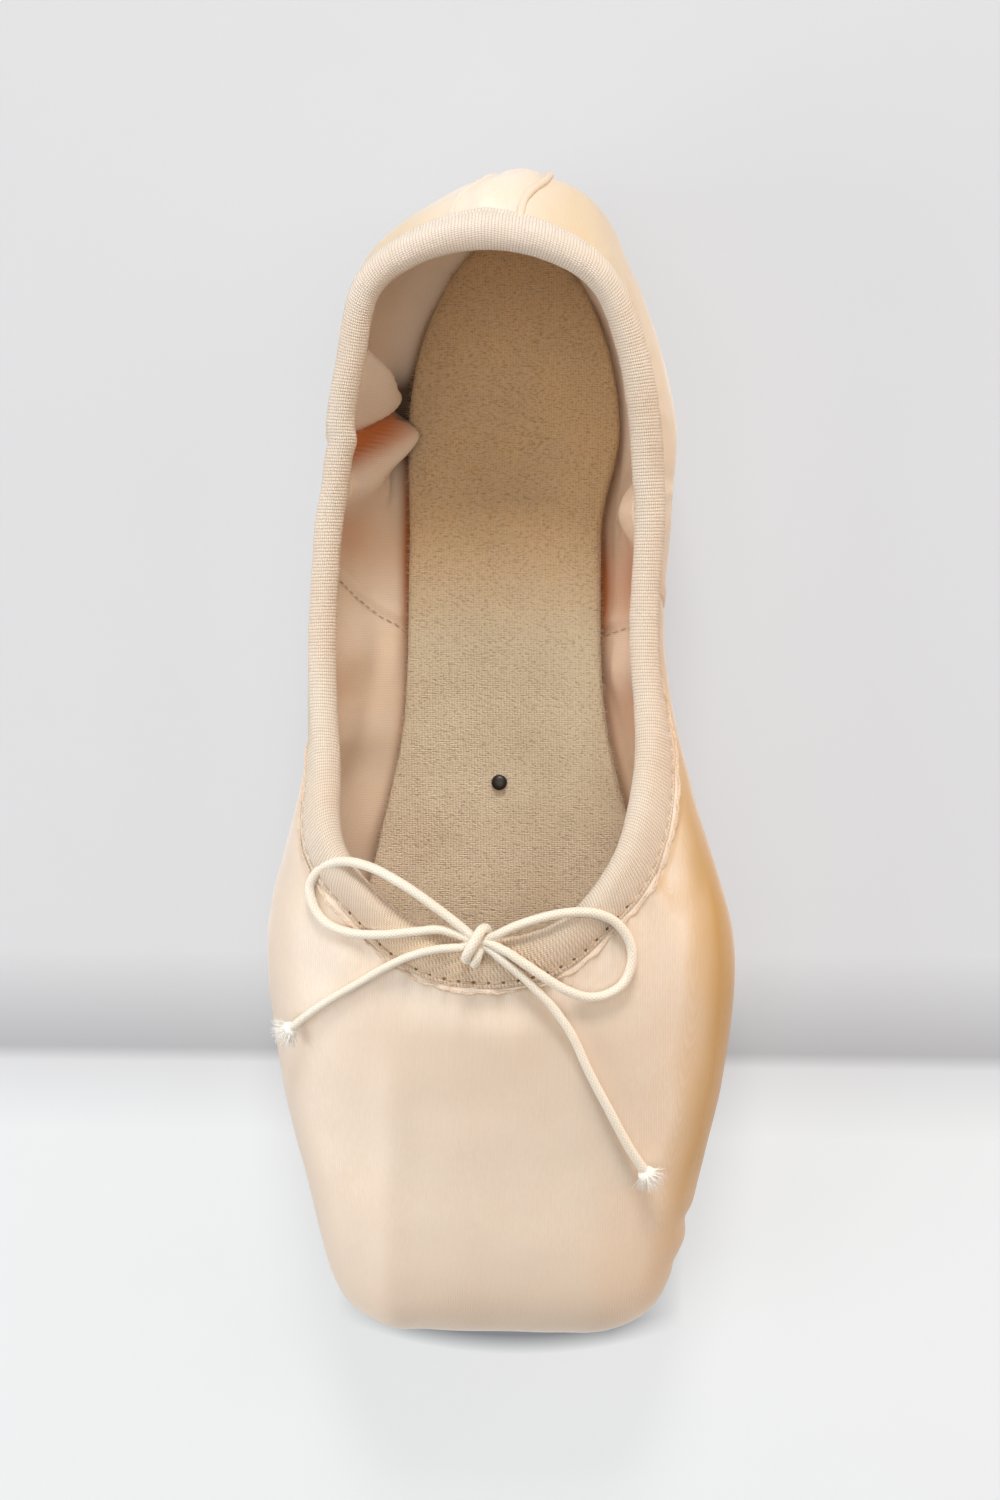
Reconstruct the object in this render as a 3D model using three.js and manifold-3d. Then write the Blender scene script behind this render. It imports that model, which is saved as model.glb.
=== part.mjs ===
// A ballet pointe shoe, empty and standing on its sole, in millimetres.
// +Z is up, the heel points to +Y and the toe to -Y, and the shoe is symmetrical about x = 0,
// because pointe shoes are made on a straight last with no left or right.
// The upper is one wrapped shell: its lower edge turns in under the foot, and its upper edge
// carries the binding, a folded tape whose drawstring is tied in a bow at the throat.
import * as THREE from "three";
import { mergeVertices } from "three/addons/utils/BufferGeometryUtils.js";
import Module from "manifold-3d";

const wasm = await Module();
wasm.setup();

// ---- Driving dimensions -------------------------------------------------------------------
const LENGTH = 231; // toe platform to back of heel
const BALL_WIDTH = 92.6; // across the widest part of the box
const INSTEP = 51.6; // height of the throat above the floor
const HEEL_HEIGHT = 56; // height of the topline at the back
const GAP = 0.5; // between neighbouring curved pieces, before faceting

const QUARTER_WALL = 1.8; // satin, canvas and lining
const BOX_WALL = 3.2; // the pasted layers of the toe box
const OUTSOLE_THICK = 2.6;
const INSOLE_THICK = 3.2;
const TAPE_WIDTH = 9.5; // the binding, folded over the topline
const TAPE_THICK = 2.8; // with the drawstring casing inside
const CORD_DIAMETER = 1.9;

const ARCH_RISE = 3.6; // of the sole's waist off the floor
const TOE_SPRING = 3.0; // of the sole's edge below the platform
const HEEL_SPRING = 1.2; // of the sole's edge behind the heel seat
const FOREFOOT_FLAT = [42, 90]; // stretch of the sole on the floor, measured from the toe
const HEEL_FLAT = [180, 210];

// The upper through its sections, from the middle of the platform round one side to the back.
// Each row is one section: where its feather edge, lower wall, middle, shoulder, crown and
// topline lie. "half" is the distance from the centre line, "along" the distance from the toe,
// "up" the height above the floor. The feather's height follows the sole.
const SECTIONS = [
  { at: "tip", feather: [0, 3.6], low: [0, 0.7, 11], mid: [0, 0, 19],
    shoulder: [0, 3.4, 32.4], crown: [0, 36, 44.6], topline: [0, 80, INSTEP] },
  { at: "platform", feather: [17, 4.2], low: [19, 1.2, 11], mid: [19.6, 0.9, 19],
    shoulder: [17.6, 4.3, 31.9], crown: [10.5, 37, 44.2], topline: [8.4, 81, 51.3] },
  { at: "corner", feather: [26.4, 7.8], low: [29.4, 5.6, 10.5], mid: [30.4, 4.8, 18.5],
    shoulder: [27.4, 8.2, 29.4], crown: [20, 40.5, 42.8], topline: [15.4, 84.2, 50.8] },
  { at: "box", feather: [33, 27], low: [37, 27, 11], mid: [38.7, 27.5, 19],
    shoulder: [36, 29.5, 29.5], crown: [29.8, 50, 41.2], topline: [21.4, 90.4, 49.6] },
  { at: "ball", feather: [39.3, 70], low: [44, 72, 11], mid: [BALL_WIDTH / 2, 75, 19],
    shoulder: [44.9, 78, 29.6], crown: [38.8, 82, 39.4], topline: [25.6, 98, 47.3] },
  { at: "wing", feather: [31.5, 103], low: [35.6, 104.5, 11], mid: [38, 106, 19],
    shoulder: [38.4, 107.5, 28], crown: [36.5, 110, 34.4], topline: [29.4, 113.5, 42.6] },
  { at: "waist", feather: [25.4, 130], low: [29.4, 130, 12], mid: [33, 130, 19],
    shoulder: [34.6, 130, 25.6], crown: [34.4, 130, 29.4], topline: [31, 130.5, 39.8] },
  { at: "quarter", feather: [24.4, 164], low: [29, 164, 11.5], mid: [33.2, 164, 20],
    shoulder: [34.6, 164, 28], crown: [34, 164, 32], topline: [30.6, 163, 42] },
  { at: "heel_side", feather: [23.6, 192], low: [28, 193, 11], mid: [31.4, 193.6, 20],
    shoulder: [31.8, 192.6, 32], crown: [30.6, 190, 39.6], topline: [26.8, 187.6, 49.4] },
  { at: "heel_turn", feather: [16.6, 210.2], low: [20.4, 213.8, 10.5], mid: [22.2, 216, 19.5],
    shoulder: [22.2, 214.8, 34], crown: [22.8, 209.2, 45], topline: [22.4, 201.4, 54] },
  { at: "heel_back", feather: [8.8, 219.4], low: [11, 224.4, 10.5], mid: [12, 226.4, 19.5],
    shoulder: [12.2, 225, 34], crown: [13, 217.2, 46.6], topline: [12.6, 207.4, 55.6] },
  { at: "heel", feather: [0, 223], low: [0, 228.6, 10.5], mid: [0, LENGTH, 19.5],
    shoulder: [0, 229.2, 34], crown: [0, 221.6, 47], topline: [0, 209.4, HEEL_HEIGHT] },
];

// Outlines of the two soles, as half widths along the shoe, both ends on the centre line.
const OUTSOLE = [
  { along: 17, half: 0 },
  { along: 18.4, half: 11 },
  { along: 25, half: 18.8 },
  { along: 44, half: 25 },
  { along: 68, half: 27.6 },
  { along: 92, half: 22.6 },
  { along: 120, half: 13.8 },
  { along: 152, half: 13 },
  { along: 182, half: 16.6 },
  { along: 201, half: 15.6 },
  { along: 212, half: 9.4 },
  { along: 215.6, half: 0 },
];
const INSOLE = [
  { along: 13, half: 0 },
  { along: 14.4, half: 12 },
  { along: 23, half: 21.4 },
  { along: 44, half: 29.4 },
  { along: 70, half: 32 },
  { along: 94, half: 26.8 },
  { along: 122, half: 20.6 },
  { along: 156, half: 19.6 },
  { along: 186, half: 19.8 },
  { along: 202, half: 16 },
  { along: 213, half: 8 },
  { along: 217, half: 0 },
];

// The drawstring's free stretches, as points along their middle, from the knot outwards.
const KNOT = { centre: [-1.3, -36.1, 54], radii: [2.1, 4, 1.9], turned: -27, sides: 12, rings: 8 };
const DRAWSTRING = {
  drawstring_left_loop: [
    [-2.6, -32.4, 53.9],
    [-8.4, -28.9, 54.6],
    [-15.8, -24.4, 54.4],
    [-22, -21.7, 52],
    [-27.3, -21, 49.4],
    [-32, -22.8, 45.9],
    [-34, -25.8, 44.9],
    [-33.5, -29.2, 45.3],
    [-30.8, -32.7, 46.5],
    [-26.1, -34.4, 48.4],
    [-19.6, -34.6, 51.2],
    [-12.5, -34.1, 52.8],
    [-8.1, -34, 53.2],
    [-4.4, -34.6, 53.8],
  ],
  drawstring_right_loop: [
    [1.6, -34, 54],
    [6.1, -32.6, 54.5],
    [11, -31.2, 54.4],
    [15.9, -30.1, 53.3],
    [20.7, -30.3, 51.6],
    [24.5, -32.2, 49.5],
    [27, -36, 48],
    [27.3, -39.9, 47.6],
    [25.9, -43.5, 47.8],
    [23, -45.6, 48.6],
    [19.4, -46.3, 49.6],
    [15.2, -45, 51.2],
    [10.9, -42, 53],
    [7.9, -39.9, 53.9],
    [4.9, -37.9, 54],
    [1.6, -36.5, 54],
  ],
  drawstring_left_tail: [
    [-4.4, -37.2, 53.5],
    [-8.6, -37.1, 53.1],
    [-13.6, -38.1, 52.3],
    [-18.9, -40.7, 50.3],
    [-24, -43.9, 48.4],
    [-30.4, -47.7, 45.9],
    [-34.9, -50.8, 43.4],
    [-38.4, -53.6, 40.6],
  ],
  drawstring_right_tail: [
    [0.4, -38.8, 53.4],
    [3.7, -40.7, 53],
    [6.2, -42.5, 52.5],
    [8.5, -44.4, 51.9],
    [11, -46.6, 51.1],
    [13.4, -49.3, 50.3],
    [15.8, -52.7, 49.4],
    [19, -60.1, 47.6],
    [22.9, -67.7, 45.1],
    [26.7, -75.4, 42.1],
    [29.6, -80.2, 39.9],
  ],
};

const COLOURS = {
  satin: { color: 0xe9cfb2, roughness: 0.42, metalness: 0 },
  tape: { color: 0xeadfca, roughness: 0.85, metalness: 0 },
  flannel: { color: 0xc2a684, roughness: 0.95, metalness: 0 },
  leather: { color: 0xcdb393, roughness: 0.8, metalness: 0 },
  steel: { color: 0x2e2a28, roughness: 0.45, metalness: 0.8 },
  cord: { color: 0xf6ead6, roughness: 0.75, metalness: 0 },
};

// ---- Small helpers ------------------------------------------------------------------------
const smooth = THREE.MathUtils.smoothstep;
const lerp = THREE.MathUtils.lerp;

function place(half, along, up) {
  return new THREE.Vector3(half, along - LENGTH / 2, up);
}

// Height of the sole's underside above the floor.
function tread(along) {
  const [ballStart, ballEnd] = FOREFOOT_FLAT;
  const [seatStart, seatEnd] = HEEL_FLAT;
  const middle = (ballEnd + seatStart) / 2;
  const toe = TOE_SPRING * (1 - smooth(along, 0, ballStart));
  const arch = ARCH_RISE * smooth(along, ballEnd, middle) * (1 - smooth(along, middle, seatStart));
  const back = HEEL_SPRING * smooth(along, seatEnd, LENGTH);
  return toe + arch + back;
}

// A closed mesh from vertices and triangles, as a manifold solid.
function solidFrom(vertices, triangles) {
  const made = new wasm.Mesh({
    numProp: 3,
    vertProperties: new Float32Array(vertices.flatMap((v) => [v.x, v.y, v.z])),
    triVerts: new Uint32Array(triangles.flat()),
  });
  return new wasm.Manifold(made);
}

function solidOfGeometry(geometry) {
  const bare = geometry.clone();
  bare.deleteAttribute("normal");
  bare.deleteAttribute("uv");
  const merged = mergeVertices(bare, 1e-3);
  return new wasm.Manifold(
    new wasm.Mesh({
      numProp: 3,
      vertProperties: merged.attributes.position.array,
      triVerts: new Uint32Array(merged.index.array),
    }),
  );
}

function geometryOf(solid) {
  const mesh = solid.getMesh();
  const geometry = new THREE.BufferGeometry();
  geometry.setAttribute("position", new THREE.BufferAttribute(mesh.vertProperties, mesh.numProp));
  geometry.setIndex(new THREE.BufferAttribute(mesh.triVerts, 1));
  return geometry.toNonIndexed();
}

function named(name, geometry, finish) {
  const faces = geometry.index ? geometry.toNonIndexed() : geometry;
  faces.computeVertexNormals();
  const mesh = new THREE.Mesh(faces, new THREE.MeshStandardMaterial(COLOURS[finish]));
  mesh.name = name;
  return mesh;
}

// Triangles of a grid whose rows all close on themselves, and whose first row follows its last
// when "wraps" is true.
function ringTriangles(rows, across, wraps) {
  const triangles = [];
  const spans = wraps ? rows : rows - 1;
  for (let row = 0; row < spans; row += 1) {
    for (let step = 0; step < across; step += 1) {
      const next = (step + 1) % across;
      const a = row * across + step;
      const b = row * across + next;
      const c = ((row + 1) % rows) * across + next;
      const d = ((row + 1) % rows) * across + step;
      triangles.push([a, b, c], [a, c, d]);
    }
  }
  return triangles;
}

// ---- The last: one function for every curved piece ----------------------------------------
const RINGS = ["under", "ground", "feather", "low", "mid", "shoulder", "crown", "topline"];
const UNDER_UP = OUTSOLE_THICK + GAP; // the shell's underside above the sole's
const FEATHER_UP = 2.4; // from the shell's underside to its feather edge
const GROUND_INSET = 5; // flat width inside the feather edge
const SOLE_OVERLAP = 6; // how far the outsole covers the shell's turned-in edge
const SECTION_STEP = 9; // longest side of a facet round the shoe

// Smooth curve through an outline table: x is the half width, y the distance from the toe.
function outlineCurve(table) {
  return new THREE.CatmullRomCurve3(
    table.map((row) => new THREE.Vector3(row.half, row.along, 0)),
    false,
    "centripetal",
  );
}

// Feather points beyond this stretch turn in towards its ends, and the others square to the shoe.
const SPINE = [34, 198];
const OUTLINE_POINTS = 120;

// The nearest point of the outsole's outline to a feather point, moved in by the overlap.
const outsoleOutline = outlineCurve(OUTSOLE).getPoints(OUTLINE_POINTS);
function turnedIn([half, along]) {
  const centre = new THREE.Vector3(0, THREE.MathUtils.clamp(along, ...SPINE), 0);
  const outward = new THREE.Vector3(half, along, 0).sub(centre).normalize();
  let best = outsoleOutline[0];
  let bestSide = -Infinity;
  for (const point of outsoleOutline) {
    const side = point.clone().sub(centre).normalize().dot(outward);
    if (side > bestSide) {
      bestSide = side;
      best = point;
    }
  }
  const edge = best.clone().sub(outward.clone().multiplyScalar(SOLE_OVERLAP));
  return [Math.max(edge.x, 0), edge.y];
}

// The three lowest rings are given above the sole's underside, and follow it along the shoe.
const ABOVE_SOLE = { under: UNDER_UP, ground: UNDER_UP, feather: UNDER_UP + FEATHER_UP };

function ringPoint(section, ring) {
  if (!(ring in ABOVE_SOLE)) return place(...section[ring]);
  const [half, along] = section.feather;
  if (ring === "feather") return place(half, along, ABOVE_SOLE[ring]);
  const [x, y] = turnedIn(section.feather);
  if (ring === "under") return place(x, y, ABOVE_SOLE[ring]);
  const inward = new THREE.Vector2(x - half, y - along).normalize().multiplyScalar(GROUND_INSET);
  return place(half + inward.x, along + inward.y, ABOVE_SOLE[ring]);
}

const mirrored = (point) => new THREE.Vector3(-point.x, point.y, point.z);

// Each ring of the last is one closed curve through its sections, up one side and down the other.
const ringCurves = RINGS.map((ring) => {
  const side = SECTIONS.map((section) => ringPoint(section, ring));
  const otherSide = side.slice(1, -1).reverse().map(mirrored);
  return new THREE.CatmullRomCurve3([...side, ...otherSide], true, "centripetal");
});

// Places round the shoe, with more steps where a section lies further from the next.
function stationsRound(step) {
  const widest = ringCurves[RINGS.indexOf("mid")].points;
  const stations = [];
  widest.forEach((point, index) => {
    const next = widest[(index + 1) % widest.length];
    const steps = Math.max(2, Math.ceil(point.distanceTo(next) / step));
    for (let k = 0; k < steps; k += 1) stations.push((index + k / steps) / widest.length);
  });
  return stations;
}

// The profile of the shell at one place round the shoe, from under the foot to the topline.
function profileAt(station) {
  const points = ringCurves.map((curve, index) => {
    const point = curve.getPoint(station);
    if (RINGS[index] in ABOVE_SOLE) point.z += tread(point.y + LENGTH / 2);
    return point;
  });
  return new THREE.CatmullRomCurve3(points, false, "centripetal");
}

// Grid of points on the outside of the shell. Rows are places on the profile, given by a
// function of the profile's curve.
const STATIONS = stationsRound(SECTION_STEP);
const PROFILES = STATIONS.map(profileAt);

function gridOf(placesOnProfile) {
  const columns = PROFILES.map((profile) => {
    const places = placesOnProfile(profile);
    return places.map((t) => profile.getPoint(t));
  });
  return columns[0].map((_, row) => columns.map((column) => column[row]));
}

// Outward normals of a grid, from its own neighbours.
function normalsOf(grid) {
  const rows = grid.length;
  const across = grid[0].length;
  return grid.map((line, row) =>
    line.map((_, step) => {
      const left = line[(step + across - 1) % across];
      const right = line[(step + 1) % across];
      const below = grid[Math.max(row - 1, 0)][step];
      const above = grid[Math.min(row + 1, rows - 1)][step];
      const round = right.clone().sub(left);
      const upwards = above.clone().sub(below);
      return round.cross(upwards).normalize();
    }),
  );
}

function offsetGrid(grid, normals, distance) {
  return grid.map((line, row) =>
    line.map((point, step) => {
      const away = distance(row, step);
      return point.clone().addScaledVector(normals[row][step], away);
    }),
  );
}

// Place on a profile's curve that lies a length below the topline.
function belowTopline(profile, length) {
  return profile.getUtoTmapping(0, profile.getLength() - length);
}

// ---- Upper --------------------------------------------------------------------------------
// Rows of facets between neighbouring rings, from under the foot to the crown, and on to the
// seam where the binding starts.
const ROWS_BETWEEN = [1, 2, 1, 2, 2, 3];
const ROWS_TO_SEAM = 3;
// Where the box's thick wall ends, as distances from the toe, and where it begins and ends up
// the profile, as rows from the edge under the foot and from the seam.
const BOX_END = [88, 112];
const BOX_BEGINS_UP = [2, 4];
const BOX_BELOW_SEAM = [4, 1];

function upperPlaces(profile) {
  const spans = RINGS.length - 1;
  const places = [];
  ROWS_BETWEEN.forEach((rows, span) => {
    for (let k = 0; k < rows; k += 1) places.push((span + k / rows) / spans);
  });
  const crown = ROWS_BETWEEN.length / spans;
  const seam = belowTopline(profile, TAPE_WIDTH + GAP);
  for (let k = 0; k <= ROWS_TO_SEAM; k += 1) places.push(lerp(crown, seam, k / ROWS_TO_SEAM));
  return places;
}

// The shell is thick in the toe box and thin in the quarters, underneath and at the seam.
function wallAt(row, point, rows) {
  const along = point.y + LENGTH / 2;
  const inBox = 1 - smooth(along, ...BOX_END);
  const turnedUp = smooth(row, ...BOX_BEGINS_UP);
  const [first, last] = BOX_BELOW_SEAM;
  const nearSeam = smooth(row, rows - first, rows - last);
  return lerp(QUARTER_WALL, BOX_WALL, inBox * turnedUp * (1 - nearSeam));
}

function upperGeometry() {
  const outside = gridOf(upperPlaces);
  const normals = normalsOf(outside);
  const rows = outside.length;
  const across = STATIONS.length;
  const inward = (row, step) => -wallAt(row, outside[row][step], rows);
  const inside = offsetGrid(outside, normals, inward);
  const loop = [...outside, ...inside.reverse()];
  return geometryOf(solidFrom(loop.flat(), ringTriangles(loop.length, across, true)));
}

// ---- Binding ------------------------------------------------------------------------------
// The tape's cross-section: how far below the topline, and how far out from the middle of
// its thickness, as a share of half its thickness.
const TAPE_SECTION = [
  { below: 1, out: 0.82 },
  { below: 0.66, out: 1 },
  { below: 0.3, out: 1 },
  { below: 0.08, out: 0.72 },
  { below: 0, out: 0 },
  { below: 0.08, out: -0.72 },
  { below: 0.3, out: -1 },
  { below: 0.66, out: -1 },
  { below: 1, out: -0.82 },
];

const TOP_OF_PROFILE = 0.01; // just below the topline, where the profile still has a direction

function bindingGeometry() {
  const depths = TAPE_SECTION.map((row) => Math.max(row.below * TAPE_WIDTH, TOP_OF_PROFILE));
  const grid = gridOf((profile) => depths.map((depth) => belowTopline(profile, depth)));
  const tapeDepths = [TAPE_WIDTH, TAPE_WIDTH / 2, TOP_OF_PROFILE];
  const flat = gridOf((profile) => tapeDepths.map((depth) => belowTopline(profile, depth)));
  const facing = normalsOf(flat)[1];
  const loop = offsetGrid(
    grid,
    grid.map(() => facing),
    (row) => (TAPE_SECTION[row].out * TAPE_THICK) / 2 - QUARTER_WALL / 2,
  );
  return geometryOf(solidFrom(loop.flat(), ringTriangles(loop.length, STATIONS.length, true)));
}

// ---- Soles --------------------------------------------------------------------------------
// A sole as a ladder of rungs from side to side, each at its own height.
const RUNGS = 44;
const SHORTEST_RUNG = 2; // half width of the first and last rungs

function soleSolid(table, inset, bottom, top) {
  const toe = table[0].along;
  const heel = table.at(-1).along;
  const edge = outlineCurve(table).getSpacedPoints(RUNGS).slice(1, -1);
  const rungs = edge
    .map((point) => {
      const share = (point.y - toe) / (heel - toe);
      return { half: point.x - inset, along: lerp(toe + inset, heel - inset, share) };
    })
    .filter((rung) => rung.half > SHORTEST_RUNG);
  const vertices = [];
  for (const { half, along } of rungs) {
    const floor = tread(along);
    vertices.push(
      place(-half, along, floor + bottom),
      place(half, along, floor + bottom),
      place(half, along, floor + top),
      place(-half, along, floor + top),
    );
  }
  const across = 4;
  const triangles = ringTriangles(rungs.length, across, false).map(([a, b, c]) => [a, c, b]);
  const end = (rungs.length - 1) * across;
  triangles.push([0, 1, 2], [0, 2, 3], [end, end + 2, end + 1], [end, end + 3, end + 2]);
  return solidFrom(vertices, triangles);
}

const INSOLE_UP = UNDER_UP + QUARTER_WALL + 2 * GAP; // underside of the insole above the sole's
const FILLER_INSET = SOLE_OVERLAP + 1.2; // of the insole's filler inside the outsole's outline
const FILLER_MERGE = 1; // how far the filler reaches into the insole, so the two are one solid

function insoleSolid() {
  const board = soleSolid(INSOLE, 0, INSOLE_UP, INSOLE_UP + INSOLE_THICK);
  const filler = soleSolid(OUTSOLE, FILLER_INSET, UNDER_UP, INSOLE_UP + FILLER_MERGE);
  return board.add(filler);
}

// ---- Nail in the insole -------------------------------------------------------------------
const NAIL = { along: 108.9, aside: -1, head: 1.6, dome: 0.8, shank: 0.6, length: 2.6 };
const NAIL_EDGE = { radius: NAIL.head * 0.8, up: NAIL.dome * 0.7 }; // where the dome rounds over
const NAIL_HOLE = NAIL.shank + GAP;
const NAIL_SIDES = 16;

function insoleTop(along) {
  return tread(along) + INSOLE_UP + INSOLE_THICK;
}

// A round profile from the axis out and back, turned about the axis and set in the insole.
function turnedInInsole(profile) {
  const points = profile.map(([radius, up]) => new THREE.Vector2(radius, up));
  const turned = new THREE.LatheGeometry(points, NAIL_SIDES).rotateX(Math.PI / 2);
  const seat = place(NAIL.aside, NAIL.along, insoleTop(NAIL.along) + GAP);
  return turned.translate(seat.x, seat.y, seat.z);
}

function nailGeometry() {
  return turnedInInsole([
    [0, -NAIL.length],
    [NAIL.shank, -NAIL.length],
    [NAIL.shank, 0],
    [NAIL.head, 0],
    [NAIL_EDGE.radius, NAIL_EDGE.up],
    [0, NAIL.dome],
  ]);
}

function nailHole() {
  return solidOfGeometry(
    turnedInInsole([
      [0, -NAIL.length - GAP],
      [NAIL_HOLE, -NAIL.length - GAP],
      [NAIL_HOLE, GAP * 2],
      [0, GAP * 2],
    ]),
  );
}

// ---- Drawstring ---------------------------------------------------------------------------
const CORD_SIDES = 8;
const CORD_STEP = 4.6;

function cordGeometry(points) {
  const path = new THREE.CatmullRomCurve3(points.map((point) => new THREE.Vector3(...point)));
  const section = new THREE.Shape();
  for (let side = 0; side < CORD_SIDES; side += 1) {
    const turn = (side / CORD_SIDES) * 2 * Math.PI;
    const corner = [(CORD_DIAMETER / 2) * Math.cos(turn), (CORD_DIAMETER / 2) * Math.sin(turn)];
    if (side === 0) section.moveTo(...corner);
    else section.lineTo(...corner);
  }
  const steps = Math.ceil(path.getLength() / CORD_STEP);
  return new THREE.ExtrudeGeometry(section, { steps, extrudePath: path, bevelEnabled: false });
}

function knotGeometry() {
  const [wide, long, tall] = KNOT.radii;
  return new THREE.SphereGeometry(1, KNOT.sides, KNOT.rings)
    .rotateX(Math.PI / 2)
    .scale(wide, long, tall)
    .rotateZ(THREE.MathUtils.degToRad(KNOT.turned))
    .translate(...KNOT.centre);
}

// ---- Assembly -----------------------------------------------------------------------------
const shoe = new THREE.Group();
shoe.name = "pointe_shoe";
shoe.add(named("upper", upperGeometry(), "satin"));
shoe.add(named("binding", bindingGeometry(), "tape"));
shoe.add(named("outsole", geometryOf(soleSolid(OUTSOLE, 0, 0, OUTSOLE_THICK)), "leather"));
shoe.add(named("insole", geometryOf(insoleSolid().subtract(nailHole())), "flannel"));
shoe.add(named("insole_tack", nailGeometry(), "steel"));
shoe.add(named("drawstring_knot", knotGeometry(), "cord"));
for (const [name, points] of Object.entries(DRAWSTRING)) shoe.add(named(name, cordGeometry(points), "cord"));

export default shoe;
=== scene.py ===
"""A ballet pointe shoe with its fabrics, seams and drawstring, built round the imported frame."""

import functools
import math

import bpy
import numpy as np
from mathutils import Color, Matrix, Vector, noise


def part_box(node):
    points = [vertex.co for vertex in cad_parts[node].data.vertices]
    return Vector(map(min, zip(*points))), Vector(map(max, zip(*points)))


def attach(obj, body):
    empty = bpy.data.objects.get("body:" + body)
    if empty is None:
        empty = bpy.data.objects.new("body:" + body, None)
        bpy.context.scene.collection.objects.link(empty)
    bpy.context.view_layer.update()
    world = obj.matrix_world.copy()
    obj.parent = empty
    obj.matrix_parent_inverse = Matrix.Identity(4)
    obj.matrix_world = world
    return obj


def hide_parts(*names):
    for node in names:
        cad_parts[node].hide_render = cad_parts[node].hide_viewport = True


bl_info = {
    "name": "Pointe shoe",
    "version": (1, 0, 0),
    "blender": (4, 5, 0),
    "location": "View3D > Sidebar > Pointe Shoe",
    "description": "Dresses the pointe shoe frame in satin, cotton tape, lining, leather and cord",
    "category": "Object",
}

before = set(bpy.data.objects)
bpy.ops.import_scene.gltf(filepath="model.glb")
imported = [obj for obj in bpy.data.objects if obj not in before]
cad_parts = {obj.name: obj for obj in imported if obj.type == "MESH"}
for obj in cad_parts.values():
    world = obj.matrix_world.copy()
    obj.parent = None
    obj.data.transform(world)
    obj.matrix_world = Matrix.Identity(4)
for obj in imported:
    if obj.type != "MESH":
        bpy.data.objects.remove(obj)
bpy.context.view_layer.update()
BODY = "root"
MM = 0.001


# ---- The last -----------------------------------------------------------------------------
# The shoe's form in millimetres: y runs from the toe at -Y to the heel at +Y, z is up.
LENGTH = 231.0
INSTEP = 51.6
HEEL_HEIGHT = 56.0
BALL_HALF = 1000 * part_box("upper")[1].x

SOLE_THICK = 2.6
GAP = 0.5
UNDER_UP = SOLE_THICK + GAP
FEATHER_UP = 2.4
GROUND_INSET = 5.0
SOLE_OVERLAP = 6.0
TAPE_WIDTH = 9.5
QUARTER_WALL = 1.8
BOX_WALL = 3.2
INSOLE_UP = UNDER_UP + QUARTER_WALL + 2 * GAP
INSOLE_THICK = 3.2

# Sections from the middle of the platform round one side to the middle of the heel. Each gives
# half width, distance from the toe and height on six rings: feather edge, lower wall and middle,
# then shoulder, crown and topline. The feather edge's height follows the sole.
SECTIONS = {
    "tip": ((0, 3.6), (0, 0.7, 11), (0, 0, 19),
            (0, 3.4, 32.4), (0, 36, 44.6), (0, 80, INSTEP)),
    "platform": ((17, 4.2), (19, 1.2, 11), (19.6, 0.9, 19),
                 (17.6, 4.3, 31.9), (10.5, 37, 44.2), (8.4, 81, 51.3)),
    "corner": ((26.4, 7.8), (29.4, 5.6, 10.5), (30.4, 4.8, 18.5),
               (27.4, 8.2, 29.4), (20, 40.5, 42.8), (15.4, 84.2, 50.8)),
    "box": ((33, 27), (37, 27, 11), (38.7, 27.5, 19),
            (36, 29.5, 29.5), (29.8, 50, 41.2), (21.4, 90.4, 49.6)),
    "ball": ((39.3, 70), (44, 72, 11), (BALL_HALF, 75, 19),
             (44.9, 78, 29.6), (38.8, 82, 39.4), (25.6, 98, 47.3)),
    "wing": ((31.5, 103), (35.6, 104.5, 11), (38, 106, 19),
             (38.4, 107.5, 28), (36.5, 110, 34.4), (29.4, 113.5, 42.6)),
    "waist": ((25.4, 130), (29.4, 130, 12), (33, 130, 19),
              (34.6, 130, 25.6), (34.4, 130, 29.4), (31, 130.5, 39.8)),
    "quarter": ((24.4, 164), (29, 164, 11.5), (33.2, 164, 20),
                (34.6, 164, 28), (34, 164, 32), (30.6, 163, 42)),
    "heel_side": ((23.6, 192), (28, 193, 11), (31.4, 193.6, 20),
                  (31.8, 192.6, 32), (30.6, 190, 39.6), (26.8, 187.6, 49.4)),
    "heel_turn": ((16.6, 210.2), (20.4, 213.8, 10.5), (22.2, 216, 19.5),
                  (22.2, 214.8, 34), (22.8, 209.2, 45), (22.4, 201.4, 54)),
    "heel_back": ((8.8, 219.4), (11, 224.4, 10.5), (12, 226.4, 19.5),
                  (12.2, 225, 34), (13, 217.2, 46.6), (12.6, 207.4, 55.6)),
    "heel": ((0, 223), (0, 228.6, 10.5), (0, LENGTH, 19.5),
             (0, 229.2, 34), (0, 221.6, 47), (0, 209.4, HEEL_HEIGHT)),
}
# Outlines of the two soles, as distances from the toe and half widths there.
OUTSOLE = ((17, 0), (18.4, 11), (25, 18.8), (44, 25), (68, 27.6), (92, 22.6), (120, 13.8), (152, 13),
           (182, 16.6), (201, 15.6), (212, 9.4), (215.6, 0))
INSOLE = ((13, 0), (14.4, 12), (23, 21.4), (44, 29.4), (70, 32), (94, 26.8), (122, 20.6), (156, 19.6),
          (186, 19.8), (202, 16), (213, 8), (217, 0))


def smoothstep(value, low, high):
    """Zero below low, one above high, with a smooth rise between them."""
    t = np.clip((np.asarray(value, float) - low) / (high - low), 0, 1)
    return t * t * (3 - 2 * t)


def soft(distance):
    """A round bump of height one, fading over a distance of about one."""
    return np.exp(-np.square(distance))


def tread(along):
    """Height of the sole's underside at a distance from the toe."""
    toe = 3.0 * (1 - smoothstep(along, 0, 42))
    arch = 3.6 * smoothstep(along, 90, 135) * (1 - smoothstep(along, 135, 180))
    back = 1.2 * smoothstep(along, 210, LENGTH)
    return toe + arch + back


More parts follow.
